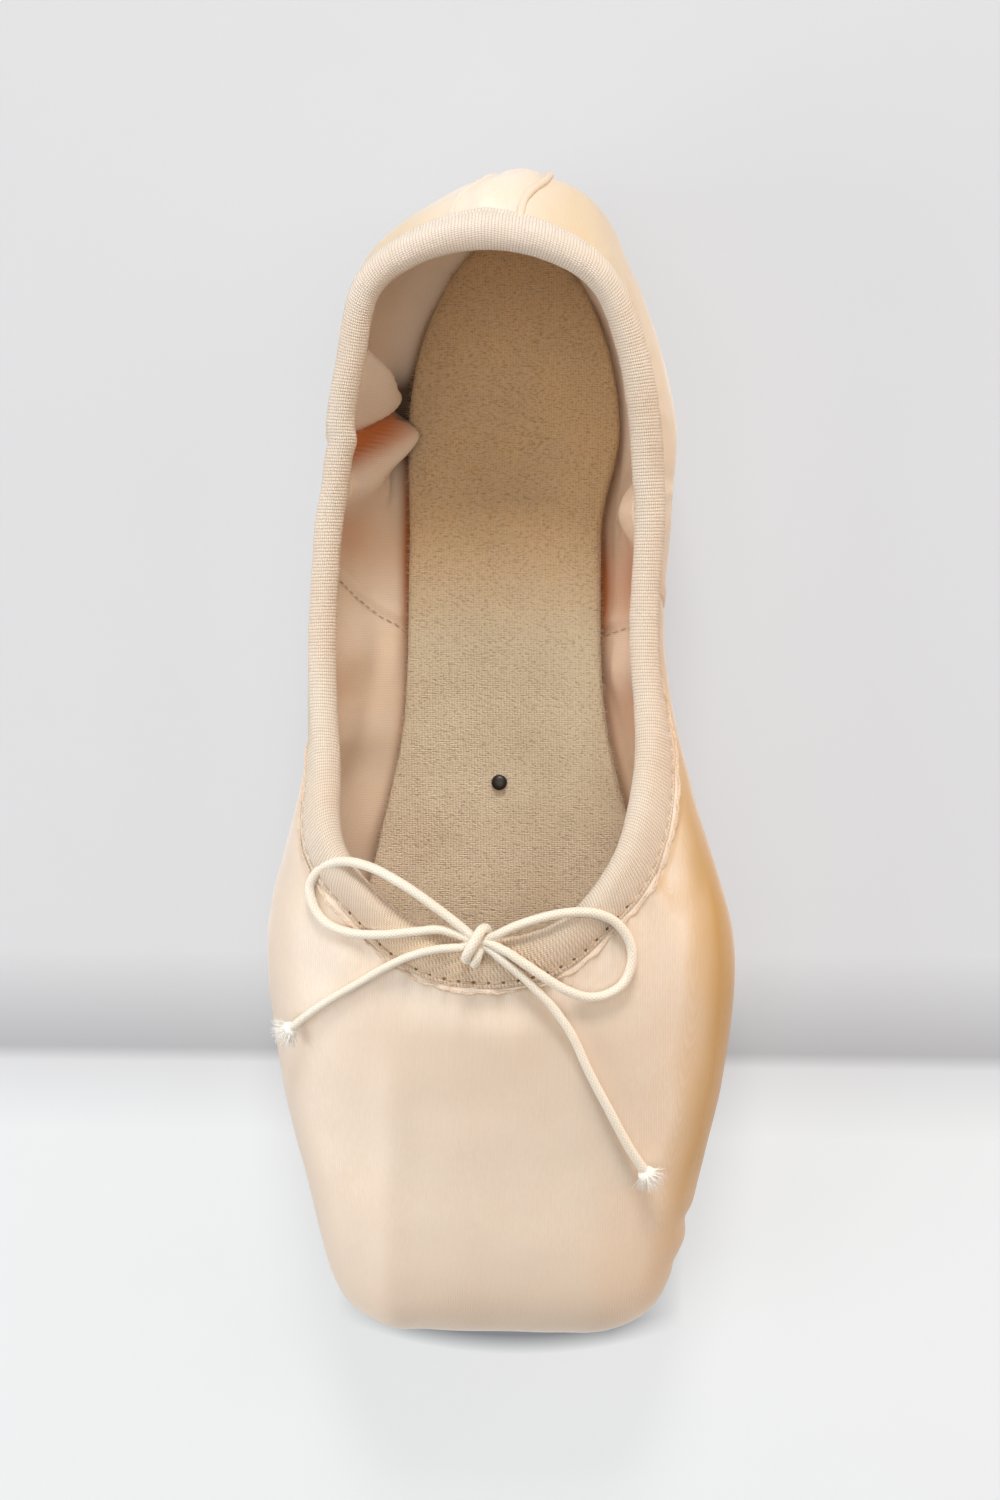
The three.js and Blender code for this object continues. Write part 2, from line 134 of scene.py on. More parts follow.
def spline(points, places, closed=False):
    """Places, counted in spans, on centripetal Catmull-Rom curves through points (n, curves, 3)."""
    points = np.asarray(points, float)
    count = len(points)
    if closed:
        padded = np.concatenate([points[-1:], points, points[:2]])
    else:
        padded = np.concatenate([2 * points[:1] - points[1:2], points, 2 * points[-1:] - points[-2:-1]])
    spans = count if closed else count - 1
    places = np.clip(np.asarray(places, float), 0, spans - 1e-9)
    start = places.astype(int)
    p0, p1, p2, p3 = (padded[start + k] for k in range(4))
    d0, d1, d2 = (
        np.maximum(np.sqrt(np.linalg.norm(b - a, axis=-1, keepdims=True)), 1e-4)
        for a, b in ((p0, p1), (p1, p2), (p2, p3))
    )
    t1 = ((p1 - p0) / d0 - (p2 - p0) / (d0 + d1) + (p2 - p1) / d1) * d1
    t2 = ((p2 - p1) / d1 - (p3 - p1) / (d1 + d2) + (p3 - p2) / d2) * d1
    t = (places - start).reshape(-1, *([1] * (points.ndim - 1)))
    a = 2 * p1 - 2 * p2 + t1 + t2
    b = -3 * p1 + 3 * p2 - 2 * t1 - t2
    return ((a * t + b) * t + t1) * t + p1


def lengths_along(points):
    """Running length along each polyline of points (n, ..., 3)."""
    steps = np.linalg.norm(np.diff(points, axis=0), axis=-1)
    return np.concatenate([np.zeros_like(steps[:1]), np.cumsum(steps, axis=0)])


def at_length(want, run, table):
    """The row, or rows, of a table of three columns where its running length reaches what is wanted."""
    return np.stack([np.interp(want, run, table[:, axis]) for axis in range(3)], axis=-1)


def even_points(points, count):
    """A polyline's points spaced evenly along it."""
    run = lengths_along(points)
    return at_length(np.linspace(0, run[-1], count), run, points)


def outline_points(table, per_span=24):
    """Right half of a sole's outline, from toe to heel, as (half, along) pairs."""
    rows = np.array([[half, along, 0] for along, half in table], float)
    return spline(rows, np.linspace(0, len(rows) - 1, (len(rows) - 1) * per_span))[:, :2]


OUTSOLE_EDGE = outline_points(OUTSOLE)
INSOLE_EDGE = outline_points(INSOLE)


def turned_in(half, along):
    """The shell's edge under the foot, inside the outsole's outline."""
    centre = np.array([0, min(max(along, 34), 198)])
    outward = np.array([half, along], float) - centre
    outward /= np.linalg.norm(outward)
    edge = OUTSOLE_EDGE - centre
    edge = edge / np.linalg.norm(edge, axis=1, keepdims=True)
    best = OUTSOLE_EDGE[np.argmax(edge @ outward)] - outward * SOLE_OVERLAP
    return np.array([max(best[0], 0), best[1]])


def section_rings(section):
    """Points of one section on all eight rings. The lowest three are heights above the sole."""
    feather, *others = section
    under = turned_in(*feather)
    inward = under - np.array(feather)
    ground = np.array(feather) + inward / np.linalg.norm(inward) * GROUND_INSET
    rings = [(*under, UNDER_UP), (*ground, UNDER_UP), (*feather, UNDER_UP + FEATHER_UP), *others]
    return np.array([(half, along - LENGTH / 2, up) for half, along, up in rings])


def ring_controls():
    """Sections right round the shoe, from the toe up the +X side and back down the other."""
    side = np.array([section_rings(section) for section in SECTIONS.values()])
    other = side[-2:0:-1] * np.array([-1, 1, 1])
    return np.concatenate([side, other])


PROFILE_STEPS = 30


class Last:
    """The shoe's outside, as profiles from the turned-in edge to the topline, at even stations."""

    def __init__(self, stations):
        controls = ring_controls()
        fine = np.linspace(0, len(controls), 4001)[:-1]
        loops = spline(controls, fine, closed=True)
        run = lengths_along(np.concatenate([loops[:, 4], loops[:1, 4]]))
        want = np.linspace(0, run[-1], stations + 1)[:-1]
        places = np.interp(want, run, np.append(fine, len(controls)))
        loops = spline(controls, places, closed=True)
        loops[:, :3, 2] += tread(loops[:, :3, 1] + LENGTH / 2)
        rings = np.swapaxes(loops, 0, 1)
        spans = len(rings) - 1
        self.dense = spline(rings, np.linspace(0, spans, spans * PROFILE_STEPS + 1))
        self.run = lengths_along(self.dense)
        self.total = self.run[-1]
        self.stations = stations
        self.topline = self.dense[-1]
        self.girth = self.side_length(self.topline)
        self.foot = self.side_length(rings[2])

    @staticmethod
    def side_length(loop):
        """Length round a loop from the toe's middle, positive on the +X side, negative on the other."""
        run = lengths_along(np.concatenate([loop, loop[:1]]))
        total = run[-1]
        return np.where(run[:-1] > total / 2, run[:-1] - total, run[:-1])

    def at(self, lengths):
        """Grid of points at lengths (rows, stations) along the profiles."""
        grid = np.empty((*lengths.shape, 3))
        for station in range(self.stations):
            for axis in range(3):
                grid[:, station, axis] = np.interp(
                    lengths[:, station], self.run[:, station], self.dense[:, station, axis]
                )
        return grid


def stations_within(girth, reach):
    """Stations from -reach to reach round the throat, in order."""
    chosen = np.flatnonzero(np.abs(girth) <= reach)
    return chosen[np.argsort(girth[chosen])]


def grid_normals(grid):
    """Outward normals of a grid that closes round the shoe."""
    around = np.roll(grid, -1, axis=1) - np.roll(grid, 1, axis=1)
    upward = np.empty_like(grid)
    upward[1:-1] = grid[2:] - grid[:-2]
    upward[0] = grid[1] - grid[0]
    upward[-1] = grid[-1] - grid[-2]
    normals = np.cross(around, upward)
    return normals / np.linalg.norm(normals, axis=-1, keepdims=True)


def smooth_grid(grid, times):
    """Evens out a grid that closes round the shoe. Its first and last rows are only evened along."""
    for _ in range(times):
        around = (np.roll(grid, 1, axis=1) + np.roll(grid, -1, axis=1)) / 2
        grid = 0.5 * grid + 0.5 * around
        inner = (grid[2:] + grid[:-2]) / 2
        grid[1:-1] = 0.5 * grid[1:-1] + 0.5 * inner
    return grid


# ---- Creases ------------------------------------------------------------------------------
# Soft pushes of the whole wall, in millimetres: side, distance from the middle of the length,
# height, their reach both ways, and how far the wall moves outwards (negative is inwards).
WALL_PUSHES = (
    {"side": -1, "y": 17, "z": 40, "long": 24, "tall": 18, "satin": 2.0, "lining": 2.0},
    {"side": -1, "y": -17, "z": 46, "long": 12, "tall": 9, "satin": 2.6, "lining": 2.6},
    {"side": -1, "y": 57, "z": 44, "long": 6, "tall": 8, "satin": -0.8, "lining": -0.8},
    {"side": -1, "y": 73, "z": 50, "long": 11, "tall": 16, "satin": -0.9, "lining": -0.9},
    {"side": -1, "y": 74.5, "z": 22, "slant": 0.25, "long": 11, "heelward": 2.2, "tall": 15,
     "satin": -2.0, "lining": -9.5},
    {"side": -1, "y": 59.1, "z": 28, "curl": 0.0233, "long": 1.9, "tall": 18, "satin": -1.0, "lining": 10.0},
    {"side": -1, "y": 54.2, "z": 13, "curl": 0.0233, "long": 4.6, "tall": 8, "satin": -1.0, "lining": -6.6},
    {"side": -1, "y": 52, "z": 26, "slant": -0.1, "long": 5.5, "tall": 16, "satin": -1.0, "lining": -5.5},
    {"side": -1, "y": 44, "z": 32, "long": 2.0, "tall": 8, "satin": 0.0, "lining": 3.0},
    {"side": -1, "y": 20, "z": 18, "long": 9, "tall": 10, "satin": 0.0, "lining": -2.2},
    {"side": -1, "y": 3, "z": 18, "long": 7, "tall": 10, "satin": 0.0, "lining": -1.8},
    {"side": 1, "y": 24, "z": 34, "long": 19, "tall": 16, "satin": -2.0, "lining": -2.0},
    {"side": 1, "y": 73, "z": 50, "long": 11, "tall": 16, "satin": 0.8, "lining": 0.8},
    {"side": 1, "y": 52, "z": 45, "long": 5, "tall": 6, "satin": -0.6, "lining": -0.6},
    {"side": 1, "y": 62, "z": 26, "long": 10, "tall": 11, "satin": 1.4, "lining": 0.0},
    {"side": 1, "y": 47, "z": 24, "long": 9, "tall": 13, "satin": 0.0, "lining": -8.0},
    {"side": 1, "y": 15, "z": 17, "long": 7, "tall": 10, "satin": 0.0, "lining": -3.0},
    {"side": 1, "y": -92.5, "z": 15, "long": 1.7, "tall": 9, "satin": -0.9, "lining": -0.9},
    {"side": 1, "y": -97, "z": 15, "long": 1.8, "tall": 9, "satin": 0.4, "lining": 0.0},
    {"side": 1, "y": -101.5, "z": 14, "long": 1.5, "tall": 8, "satin": -0.6, "lining": -0.6},
    {"side": -1, "y": -2, "z": 30, "long": 8, "tall": 9, "satin": -0.8, "lining": -0.8},
)
# Painted warm shade where the lining's creases are deepest: side, distance from the middle, height, reach
# and depth.
LINING_CREASE_PAINTED_SHADE = (
    {"side": -1, "y": 58.6, "z": 28, "curl": 0.0233, "long": 2.2, "tall": 19, "deep": 2.1},
    {"side": -1, "y": 42, "z": 17, "long": 6, "tall": 10, "deep": 0.3},
    {"side": -1, "y": 43.5, "z": 30, "slant": -0.1, "long": 3.2, "tall": 13, "deep": 0.35},
    {"side": -1, "y": 12, "z": 25, "long": 9, "tall": 10, "deep": 0.22},
    {"side": 1, "y": 34, "z": 16, "long": 9, "tall": 9, "deep": 0.7},
    {"side": 1, "y": 8, "z": 12, "long": 9, "tall": 5, "deep": 0.4},
)
# Dark painted shade in the deep gap between the insole and the lining, beside the deepest fold.
HOLLOW_PAINTED_SHADE = {"y": 69, "z": 6.5, "long": 7, "tall": 3.6}
FOLD_TOP = 31.0  # above this height the curled folds run straight up
HEEL_LEAN = 5.5  # how far the back of the heel stands to the right, below its topline
HEEL_DRAWN_IN = 1.6
INSOLE_SPREAD = 3.3  # to the right, along the heel's side
INSOLE_HEEL_BACK = 3.5
# Folds on the outside just below the tape: girth from the throat, distance below the topline,
# how wide and long they are, their turn from upright in degrees, and their lift.
SATIN_FOLDS = (
    {"girth": -26, "below": 17, "wide": 5, "long": 4.5, "turn": 14, "lift": 0.9},
    {"girth": 1, "below": 13.5, "wide": 9, "long": 3, "turn": 0, "lift": -0.9},
    {"girth": -14, "below": 14, "wide": 3.2, "long": 6, "turn": 10, "lift": -0.6},
    {"girth": -5, "below": 14, "wide": 2.6, "long": 5, "turn": 0, "lift": 0.6},
    {"girth": 4, "below": 16, "wide": 4.5, "long": 8, "turn": -8, "lift": 0.5},
    {"girth": 13, "below": 15, "wide": 2.8, "long": 6, "turn": -14, "lift": -0.7},
    {"girth": 22, "below": 15, "wide": 5, "long": 5, "turn": -20, "lift": 0.3},
    {"girth": -36, "below": 17, "wide": 4, "long": 6, "turn": 20, "lift": -0.5},
    {"girth": 34, "below": 17, "wide": 4, "long": 6, "turn": -24, "lift": -0.5},
    {"girth": 186, "below": 17, "wide": 3.4, "long": 7, "turn": 0, "lift": -0.7},
    {"girth": -184, "below": 17, "wide": 3.4, "long": 7, "turn": 0, "lift": -0.7},
    {"girth": 170, "below": 18, "wide": 5, "long": 8, "turn": 12, "lift": 0.8},
    {"girth": -168, "below": 18, "wide": 5, "long": 8, "turn": -12, "lift": 0.8},
)
GATHER_SPACING = (3.2, 6.4)
BACK_SEAM_HALF = 6.5
# The side seam's place at the tape and at the sole.
SIDE_SEAM_Y = (32.0, 25.0)
# The seam in the lining: its place at the tape and at the insole, on each side.
LINING_SEAM_Y = {-1: (42.5, 24.6), 1: (31.5, 24.0)}
PLEATS = 30
PLEAT_REACH = 74.0
# Soft corners of the box, where its flat top turns into its sides.
BOX_CORNERS = (
    {"x_toe": -20.5, "x_vamp": -17.5, "wide": 4.2, "lift": 0.95},
    {"x_toe": 21.0, "x_vamp": 19.0, "wide": 5.0, "lift": 0.6},
    {"x_toe": 2.0, "x_vamp": 1.0, "wide": 9.0, "lift": -0.35},
)


def felt(push, y, z):
    """How strongly a push or a crease is felt. It may slant or curl with height, or end sooner heelward."""
    away = y - push["y"] - push.get("slant", 0) * (z - push["z"])
    away = away - push.get("curl", 0) * np.square(np.minimum(z - FOLD_TOP, 0))
    reach = np.where(away > 0, push.get("heelward", push["long"]), push["long"])
    return soft(away / reach) * soft((z - push["z"]) / push["tall"])


def pushed(grid, face="satin"):
    """The grid with every wall push applied, as the satin or the lining takes it."""
    x, y, z = grid[..., 0], grid[..., 1], grid[..., 2]
    out = grid.copy()
    for side in (-1, 1):
        moves = {"satin": np.zeros_like(x), "lining": np.zeros_like(x)}
        for push in WALL_PUSHES:
            if push["side"] == side:
                near = felt(push, y, z)
                for key in moves:
                    moves[key] += push[key] * near
        moves["lining"] = np.minimum(moves["lining"], moves["satin"])
        out[..., 0] += side * moves[face] * smoothstep(x * side, 4, 16) * smoothstep(z, 6.5, 11)
    low = smoothstep(y, 94, 116) * (1 - smoothstep(z, 38, 56)) * smoothstep(z, 3, 16)
    out[..., 0] += low * HEEL_LEAN
    out[..., 1] -= low * HEEL_DRAWN_IN
    return out


def folds(table, girth, below):
    """Height of the folds in a table at each place."""
    height = np.zeros(np.broadcast_shapes(girth.shape, below.shape))
    for fold in table:
        turn = math.radians(fold["turn"])
        across = girth - fold["girth"]
        down = below - fold["below"]
        wide = across * math.cos(turn) + down * math.sin(turn)
        long = down * math.cos(turn) - across * math.sin(turn)
        height += fold["lift"] * soft(wide / fold["wide"]) * soft(long / fold["long"])
    return height


def gathers(girth, below, seed, start, reach, lift):
    """Small uneven puckers square to the topline, fading away from it."""
    draw = np.random.default_rng(seed)
    height = np.zeros(np.broadcast_shapes(girth.shape, below.shape))
    place = girth.min()
    while place < girth.max():
        place += draw.uniform(*GATHER_SPACING)
        wide = draw.uniform(0.9, 1.8)
        long = reach * draw.uniform(0.5, 1.2)
        slant = draw.uniform(-0.25, 0.25)
        tall = lift * draw.uniform(-1, 1)
        fade = 1 - smoothstep(below, start, start + long)
        height += tall * soft((girth - place - slant * (below - start)) / wide) * fade
    return height


def hand_made(grid, scale, lift, seed):
    """Slow unevenness of a hand-made surface."""
    flat = grid.reshape(-1, 3) / scale
    shift = Vector((seed * 7.3, seed * 3.1, seed * 5.7))
    values = [noise.noise(Vector(point) + shift) for point in flat]
    return lift * np.array(values).reshape(grid.shape[:-1])


# ---- Meshes -------------------------------------------------------------------------------
def deselect():
    """Leaves nothing selected, in object mode."""
    if bpy.context.mode != "OBJECT":
        bpy.ops.object.mode_set(mode="OBJECT")
    bpy.ops.object.select_all(action="DESELECT")


def settle(name, material):
    """Names the active object, gives it its material, body and slot, and shades it smooth."""
    piece = bpy.context.object
    piece.name = name
    piece.data.name = name
    for one in material if isinstance(material, list) else [material]:
        piece.data.materials.append(one)
    bpy.ops.object.shade_smooth()
    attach(piece, BODY)
    return piece


def laid_grid(points, joined_ends=False):
    """A grid primitive laid on points (rows, columns, 3) in metres, with each vertex's row and column.

    Each row closes round. The last row meets the first where joined_ends is set."""
    rows, columns = points.shape[:2]
    spans = rows if joined_ends else rows - 1
    deselect()
    bpy.ops.mesh.primitive_grid_add(x_subdivisions=columns, y_subdivisions=spans, size=2)
    piece = bpy.context.object
    mesh = piece.data
    flat = np.empty(len(mesh.vertices) * 3)
    mesh.vertices.foreach_get("co", flat)
    flat = flat.reshape(-1, 3)
    column = np.rint((flat[:, 0] + 1) / 2 * columns).astype(int)
    row = np.rint((flat[:, 1] + 1) / 2 * spans).astype(int)
    mesh.vertices.foreach_set("co", points[row % rows, column % columns].ravel())
    return piece, row, column


def corner_vertices(mesh):
    """The vertex at each corner of the mesh's faces."""
    corners = np.empty(len(mesh.loops), int)
    mesh.loops.foreach_get("vertex_index", corners)
    return corners


def write_uv(mesh, across, along):
    """Stores each vertex's place across and along the cloth as the mesh's UV map."""
    layer = mesh.uv_layers.active
    layer.name = "cloth"
    uv = np.stack([across, along], axis=1)
    layer.data.foreach_set("uv", uv[corner_vertices(mesh)].ravel())


def lengths_table(loop):
    """Running lengths round and up a loop closed both ways, with one more row and column."""
    wide = np.concatenate([loop, loop[:, :1]], axis=1)
    wide = np.concatenate([wide, wide[:1]], axis=0)
    up = lengths_along(wide)
    round_run = np.swapaxes(lengths_along(np.swapaxes(wide, 0, 1)), 0, 1)
    middle = round_run[len(round_run) // 4]
    return np.broadcast_to(middle, round_run.shape), up


def weld(nearness, crushed=None, capped=False):
    """Merges the active mesh's near vertices and turns its faces outwards.

    crushed is the size below which faces are dissolved, and capped closes the open ends."""
    bpy.ops.object.mode_set(mode="EDIT")
    bpy.ops.mesh.select_all(action="SELECT")
    bpy.ops.mesh.remove_doubles(threshold=nearness)
    if crushed:
        bpy.ops.mesh.dissolve_degenerate(threshold=crushed)
    if capped:
        bpy.ops.mesh.select_all(action="DESELECT")
        bpy.ops.mesh.select_non_manifold()
        bpy.ops.mesh.edge_face_add()
        bpy.ops.mesh.select_all(action="SELECT")
    bpy.ops.mesh.normals_make_consistent(inside=False)
    bpy.ops.object.mode_set(mode="OBJECT")


def wrapped_cloth(loop):
    """Cloth wrapped on a loop of points in millimetres that closes both ways, with each vertex's row."""
    piece, row, column = laid_grid(loop * MM, joined_ends=True)
    around, upward = lengths_table(loop)
    write_uv(piece.data, around[row, column] * MM, upward[row, column] * MM)
    return piece, row


def tube(route, radius, sides, step, relief=None):
    """A closed tube along a smooth route in metres, with the points of its path.

    relief gives the surface's height from the turn round the tube and the length along it."""
    points = np.array(route, float)[:, None, :]
    fine = spline(points, np.linspace(0, len(route) - 1, len(route) * 24))[:, 0]
    total = lengths_along(fine)[-1]
    path = even_points(fine, max(3, int(total / step)))
    tangents = np.gradient(path, axis=0)
    tangents /= np.linalg.norm(tangents, axis=1, keepdims=True)
    side = np.cross(tangents[0], (0, 0, 1.0))
    side /= np.linalg.norm(side)
    turns = np.linspace(0, 2 * math.pi, sides, endpoint=False)
    run = lengths_along(path)
    rings = []
    for at, tangent, length in zip(path, tangents, run):
        side = side - tangent * np.dot(side, tangent)
        side /= np.linalg.norm(side)
        up = np.cross(tangent, side)
        reach = radius * np.ones(sides) if relief is None else radius + relief(turns, length)
        rings.append(at + np.outer(np.cos(turns) * reach, side) + np.outer(np.sin(turns) * reach, up))
    piece, row, column = laid_grid(np.array(rings))
    write_uv(piece.data, column / sides, run[row])
    weld(radius * 0.02, capped=True)
    return piece, [tuple(point) for point in path]


def join(pieces):
    """Joins pieces into one active object."""
    deselect()
    for piece in pieces:
        piece.select_set(True)
    bpy.context.view_layer.objects.active = pieces[0]
    bpy.ops.object.join()


# ---- Materials ----------------------------------------------------------------------------
SATIN_RIB = 0.00046
TAPE_RIB = 0.00085
PLAIT = 0.0009  # length of one plait of the cord's braid


def add_node(tree, kind, **settings):
    """A new node with its settings."""
    made = tree.nodes.new(kind)
    for key, value in settings.items():
        setattr(made, key, value)
    return made


def feed(tree, source, target):
    """Joins an output socket, or a plain value or colour, to an input socket."""
    if isinstance(source, bpy.types.NodeSocket):
        tree.links.new(source, target)
    elif isinstance(source, Color):
        target.default_value = (*source, 1.0)
    else:
        target.default_value = source


def maths(tree, operation, *values):
    """The result of a sum on sockets or numbers."""
    made = add_node(tree, "ShaderNodeMath", operation=operation)
    for value, target in zip(values, made.inputs):
        feed(tree, value, target)
    return made.outputs[0]


def mix_colour(tree, share, first, second):
    """The first colour, with a share of the second."""
    made = add_node(tree, "ShaderNodeMix", data_type="RGBA")
    for source, socket in ((share, 0), (first, 6), (second, 7)):
        feed(tree, source, made.inputs[socket])
    return made.outputs[2]


def mix_value(tree, share, first, second):
    """The first value, with a share of the second."""
    made = add_node(tree, "ShaderNodeMix", data_type="FLOAT")
    for source, socket in ((share, 0), (first, 2), (second, 3)):
        feed(tree, source, made.inputs[socket])
    return made.outputs[0]


def ranged(tree, value, low, high, to_low=0.0, to_high=1.0):
    """A value's place between low and high, as a place between two others, kept inside them."""
    made = add_node(tree, "ShaderNodeMapRange")
    for source, target in zip((value, low, high, to_low, to_high), made.inputs):
        feed(tree, source, target)
    return made.outputs[0]


def xyz(tree, vector):
    """The three parts of a vector."""
    made = add_node(tree, "ShaderNodeSeparateXYZ")
    tree.links.new(vector, made.inputs[0])
    return tuple(made.outputs)


def mapped(tree, vector, scale, rotation=(0, 0, 0)):
    """A vector stretched, then turned."""
    made = add_node(tree, "ShaderNodeMapping")
    made.inputs["Rotation"].default_value = rotation
    made.inputs["Scale"].default_value = scale
    tree.links.new(vector, made.inputs[0])
    return made.outputs[0]


def mesh_mark(tree, name):
    """A value marked on the mesh."""
    return add_node(tree, "ShaderNodeAttribute", attribute_name=name).outputs["Fac"]


def noise_node(tree, vector, scale, detail=2.0, rough=0.5):
    """Noise on a vector."""
    made = add_node(tree, "ShaderNodeTexNoise")
    for label, value in (("Vector", vector), ("Scale", scale), ("Detail", detail), ("Roughness", rough)):
        feed(tree, value, made.inputs[label])
    return made


def noise_value(tree, *settings):
    """Noise as a value between zero and one."""
    return noise_node(tree, *settings).outputs["Fac"]


def new_group(name, inputs, outputs):
    """A shader node group that puts out values, with the sockets at its start and its end."""
    tree = bpy.data.node_groups.new(name, "ShaderNodeTree")
    tree.interface.new_socket(name="Vector", in_out="INPUT", socket_type="NodeSocketVector")
    for label, default in inputs.items():
        socket = tree.interface.new_socket(name=label, in_out="INPUT", socket_type="NodeSocketFloat")
        socket.default_value = default
    for label in outputs:
        tree.interface.new_socket(name=label, in_out="OUTPUT", socket_type="NodeSocketFloat")
    source = tree.nodes.new("NodeGroupInput")
    sink = tree.nodes.new("NodeGroupOutput")
    return tree, source.outputs, sink.inputs


@functools.cache
def weave_group():
    """Plain weave: threads over and under along both directions of a flat vector."""
    inputs = {"Warp pitch": 0.0005, "Weft pitch": 0.0005, "Wander": 0.0001}
    tree, given, result = new_group("Plain weave", inputs, ["Height"])
    drift = xyz(tree, noise_node(tree, given["Vector"], 420).outputs["Color"])
    place = xyz(tree, given["Vector"])
    waves = []
    for axis, pitch in enumerate(("Warp pitch", "Weft pitch")):
        centred = maths(tree, "SUBTRACT", drift[axis], 0.5)
        moved = maths(tree, "MULTIPLY_ADD", centred, given["Wander"], place[axis])
        turns = maths(tree, "DIVIDE", moved, given[pitch])
        waves.append(maths(tree, "SINE", maths(tree, "MULTIPLY", turns, math.pi)))
    warp, weft = (maths(tree, "ABSOLUTE", wave) for wave in waves)
    over = maths(tree, "GREATER_THAN", maths(tree, "MULTIPLY", *waves), 0.0)
    warp_high = maths(tree, "MULTIPLY", warp, maths(tree, "MULTIPLY_ADD", weft, 0.6, 0.4))
    weft_high = maths(tree, "MULTIPLY", weft, maths(tree, "MULTIPLY_ADD", warp, 0.6, 0.4))
    tree.links.new(mix_value(tree, over, weft_high, warp_high), result["Height"])
    return tree


@functools.cache
def mottle_group():
    """Slow and fast unevenness of tone."""
    inputs = {"Slow scale": 40.0, "Fast scale": 600.0}
    tree, given, result = new_group("Mottle", inputs, ("Slow", "Fast"))
    for label, low, high in (("Slow", 0.3, 0.7), ("Fast", 0.25, 0.75)):
        blotches = noise_value(tree, given["Vector"], given[label + " scale"], 4)
        tree.links.new(ranged(tree, blotches, low, high), result[label])
    return tree


def use_group(tree, group, vector, **values):
    """Places a group in a material and gives its outputs. Each value is named for its input."""
    made = add_node(tree, "ShaderNodeGroup", node_tree=group)
    tree.links.new(vector, made.inputs["Vector"])
    for label, value in values.items():
        made.inputs[label.replace("_", " ").capitalize()].default_value = value
    return made.outputs


def new_material(name, colour, roughness, sheen=0.0, specular=0.5, metallic=0.0, sheen_rough=0.5):
    """A material with its Principled shader set, and its tree."""
    made = bpy.data.materials.new(name)
    made.use_nodes = True
    made.diffuse_color = (*colour, 1)
    tree = made.node_tree
    shader = tree.nodes["Principled BSDF"]
    shader.inputs["Base Color"].default_value = (*colour, 1)
    shader.inputs["Roughness"].default_value = roughness
    shader.inputs["Metallic"].default_value = metallic
    shader.inputs["Specular IOR Level"].default_value = specular
    shader.inputs["Sheen Weight"].default_value = sheen
    shader.inputs["Sheen Roughness"].default_value = sheen_rough
    return made, tree, shader


def bump(tree, shader, height, distance, strength):
    """Gives the shader small relief from a height."""
    made = add_node(tree, "ShaderNodeBump")
    made.inputs["Distance"].default_value = distance
    made.inputs["Strength"].default_value = strength
    tree.links.new(height, made.inputs["Height"])
    tree.links.new(made.outputs[0], shader.inputs["Normal"])


def in_place(tree):
    """Places in the shoe's own space, in metres."""
    return add_node(tree, "ShaderNodeTexCoord").outputs["Object"]


def on_cloth(tree):
    """Places on the cloth itself, which follow the surface."""
    return add_node(tree, "ShaderNodeUVMap", uv_map="cloth").outputs[0]


def satin_material(colours):
    """Satin with fine ribs and slubs. Its colour holds a painted highlight at the heel's back, painted
    golden sheen on the heel's sides, painted shade and warm reflection on the right flank, and painted shade
    on the left flank and below the tape at the throat.
    """
    made, tree, shader = new_material(
        "Satin", colours.satin, 0.42, sheen=0.35, specular=0.45, sheen_rough=0.35
    )
    place = in_place(tree)
    x, y, z = xyz(tree, place)
    aside = maths(tree, "ABSOLUTE", x)
    facing = xyz(tree, add_node(tree, "ShaderNodeNewGeometry").outputs["Normal"])[0]
    sideways = ranged(tree, maths(tree, "ABSOLUTE", facing), 0.6, 0.8)
    ribs = maths(tree, "MULTIPLY", mix_value(tree, sideways, x, z), 2 * math.pi / SATIN_RIB)
    slub = noise_value(tree, mapped(tree, place, (1, 0.3, 1)), 2000)
    height = maths(tree, "MULTIPLY_ADD", maths(tree, "SINE", ribs), 0.2, slub)
    mottle = use_group(tree, mottle_group(), place, slow_scale=55, fast_scale=700)
    tone = mix_colour(tree, mottle["Slow"], colours.satin, colours.satin_warm)
    tone = mix_colour(tree, ranged(tree, height, 0.3, 0.75, 0.0, 0.45), tone, colours.satin_threads_and_painted_highlight)
    # Painted highlight: paler satin at the back of the heel.
    tone = mix_colour(tree, ranged(tree, y, 0.098, 0.11, 0.0, 0.3), tone, colours.satin_threads_and_painted_highlight)
    # Painted golden sheen on the heel's sides, growing towards the heel and away from its middle.
    heelward = maths(tree, "MULTIPLY", ranged(tree, y, 0.035, 0.085), ranged(tree, aside, 0.005, 0.016))
    tone = mix_colour(tree, heelward, tone, colours.satin_painted_golden_sheen)
    forward = ranged(tree, y, 0.06, -0.03)
    # Painted shade on the left flank, where the surface faces left, fading towards the heel.
    left = maths(tree, "MULTIPLY", ranged(tree, facing, -0.6, -0.95, 0.0, 0.7), forward)
    # Painted shade on the vamp just below the tape at the throat, fading to the sides.
    on_vamp = maths(tree, "MULTIPLY", ranged(tree, y, -0.046, -0.054), ranged(tree, y, -0.09, -0.056))
    vamp = maths(tree, "MULTIPLY", on_vamp, ranged(tree, aside, 0.036, 0.018, 0.0, 0.68))
    tone = mix_colour(tree, maths(tree, "MAXIMUM", left, vamp), tone, colours.satin_shade)
    # Painted shade and painted warm reflection on the right flank, where the surface faces right.
    right = maths(tree, "MULTIPLY", ranged(tree, facing, 0.6, 0.88), forward)
    tone = mix_colour(tree, right, tone, colours.painted_golden_shade)
    tone = mix_colour(tree, ranged(tree, y, -0.08, -0.105, 0.0, 0.6), tone, colours.satin_warm)
    tree.links.new(tone, shader.inputs["Base Color"])
    tree.links.new(ranged(tree, slub, 0.2, 0.8, 0.38, 0.5), shader.inputs["Roughness"])
    bump(tree, shader, height, 0.00006, 0.8)
    return made


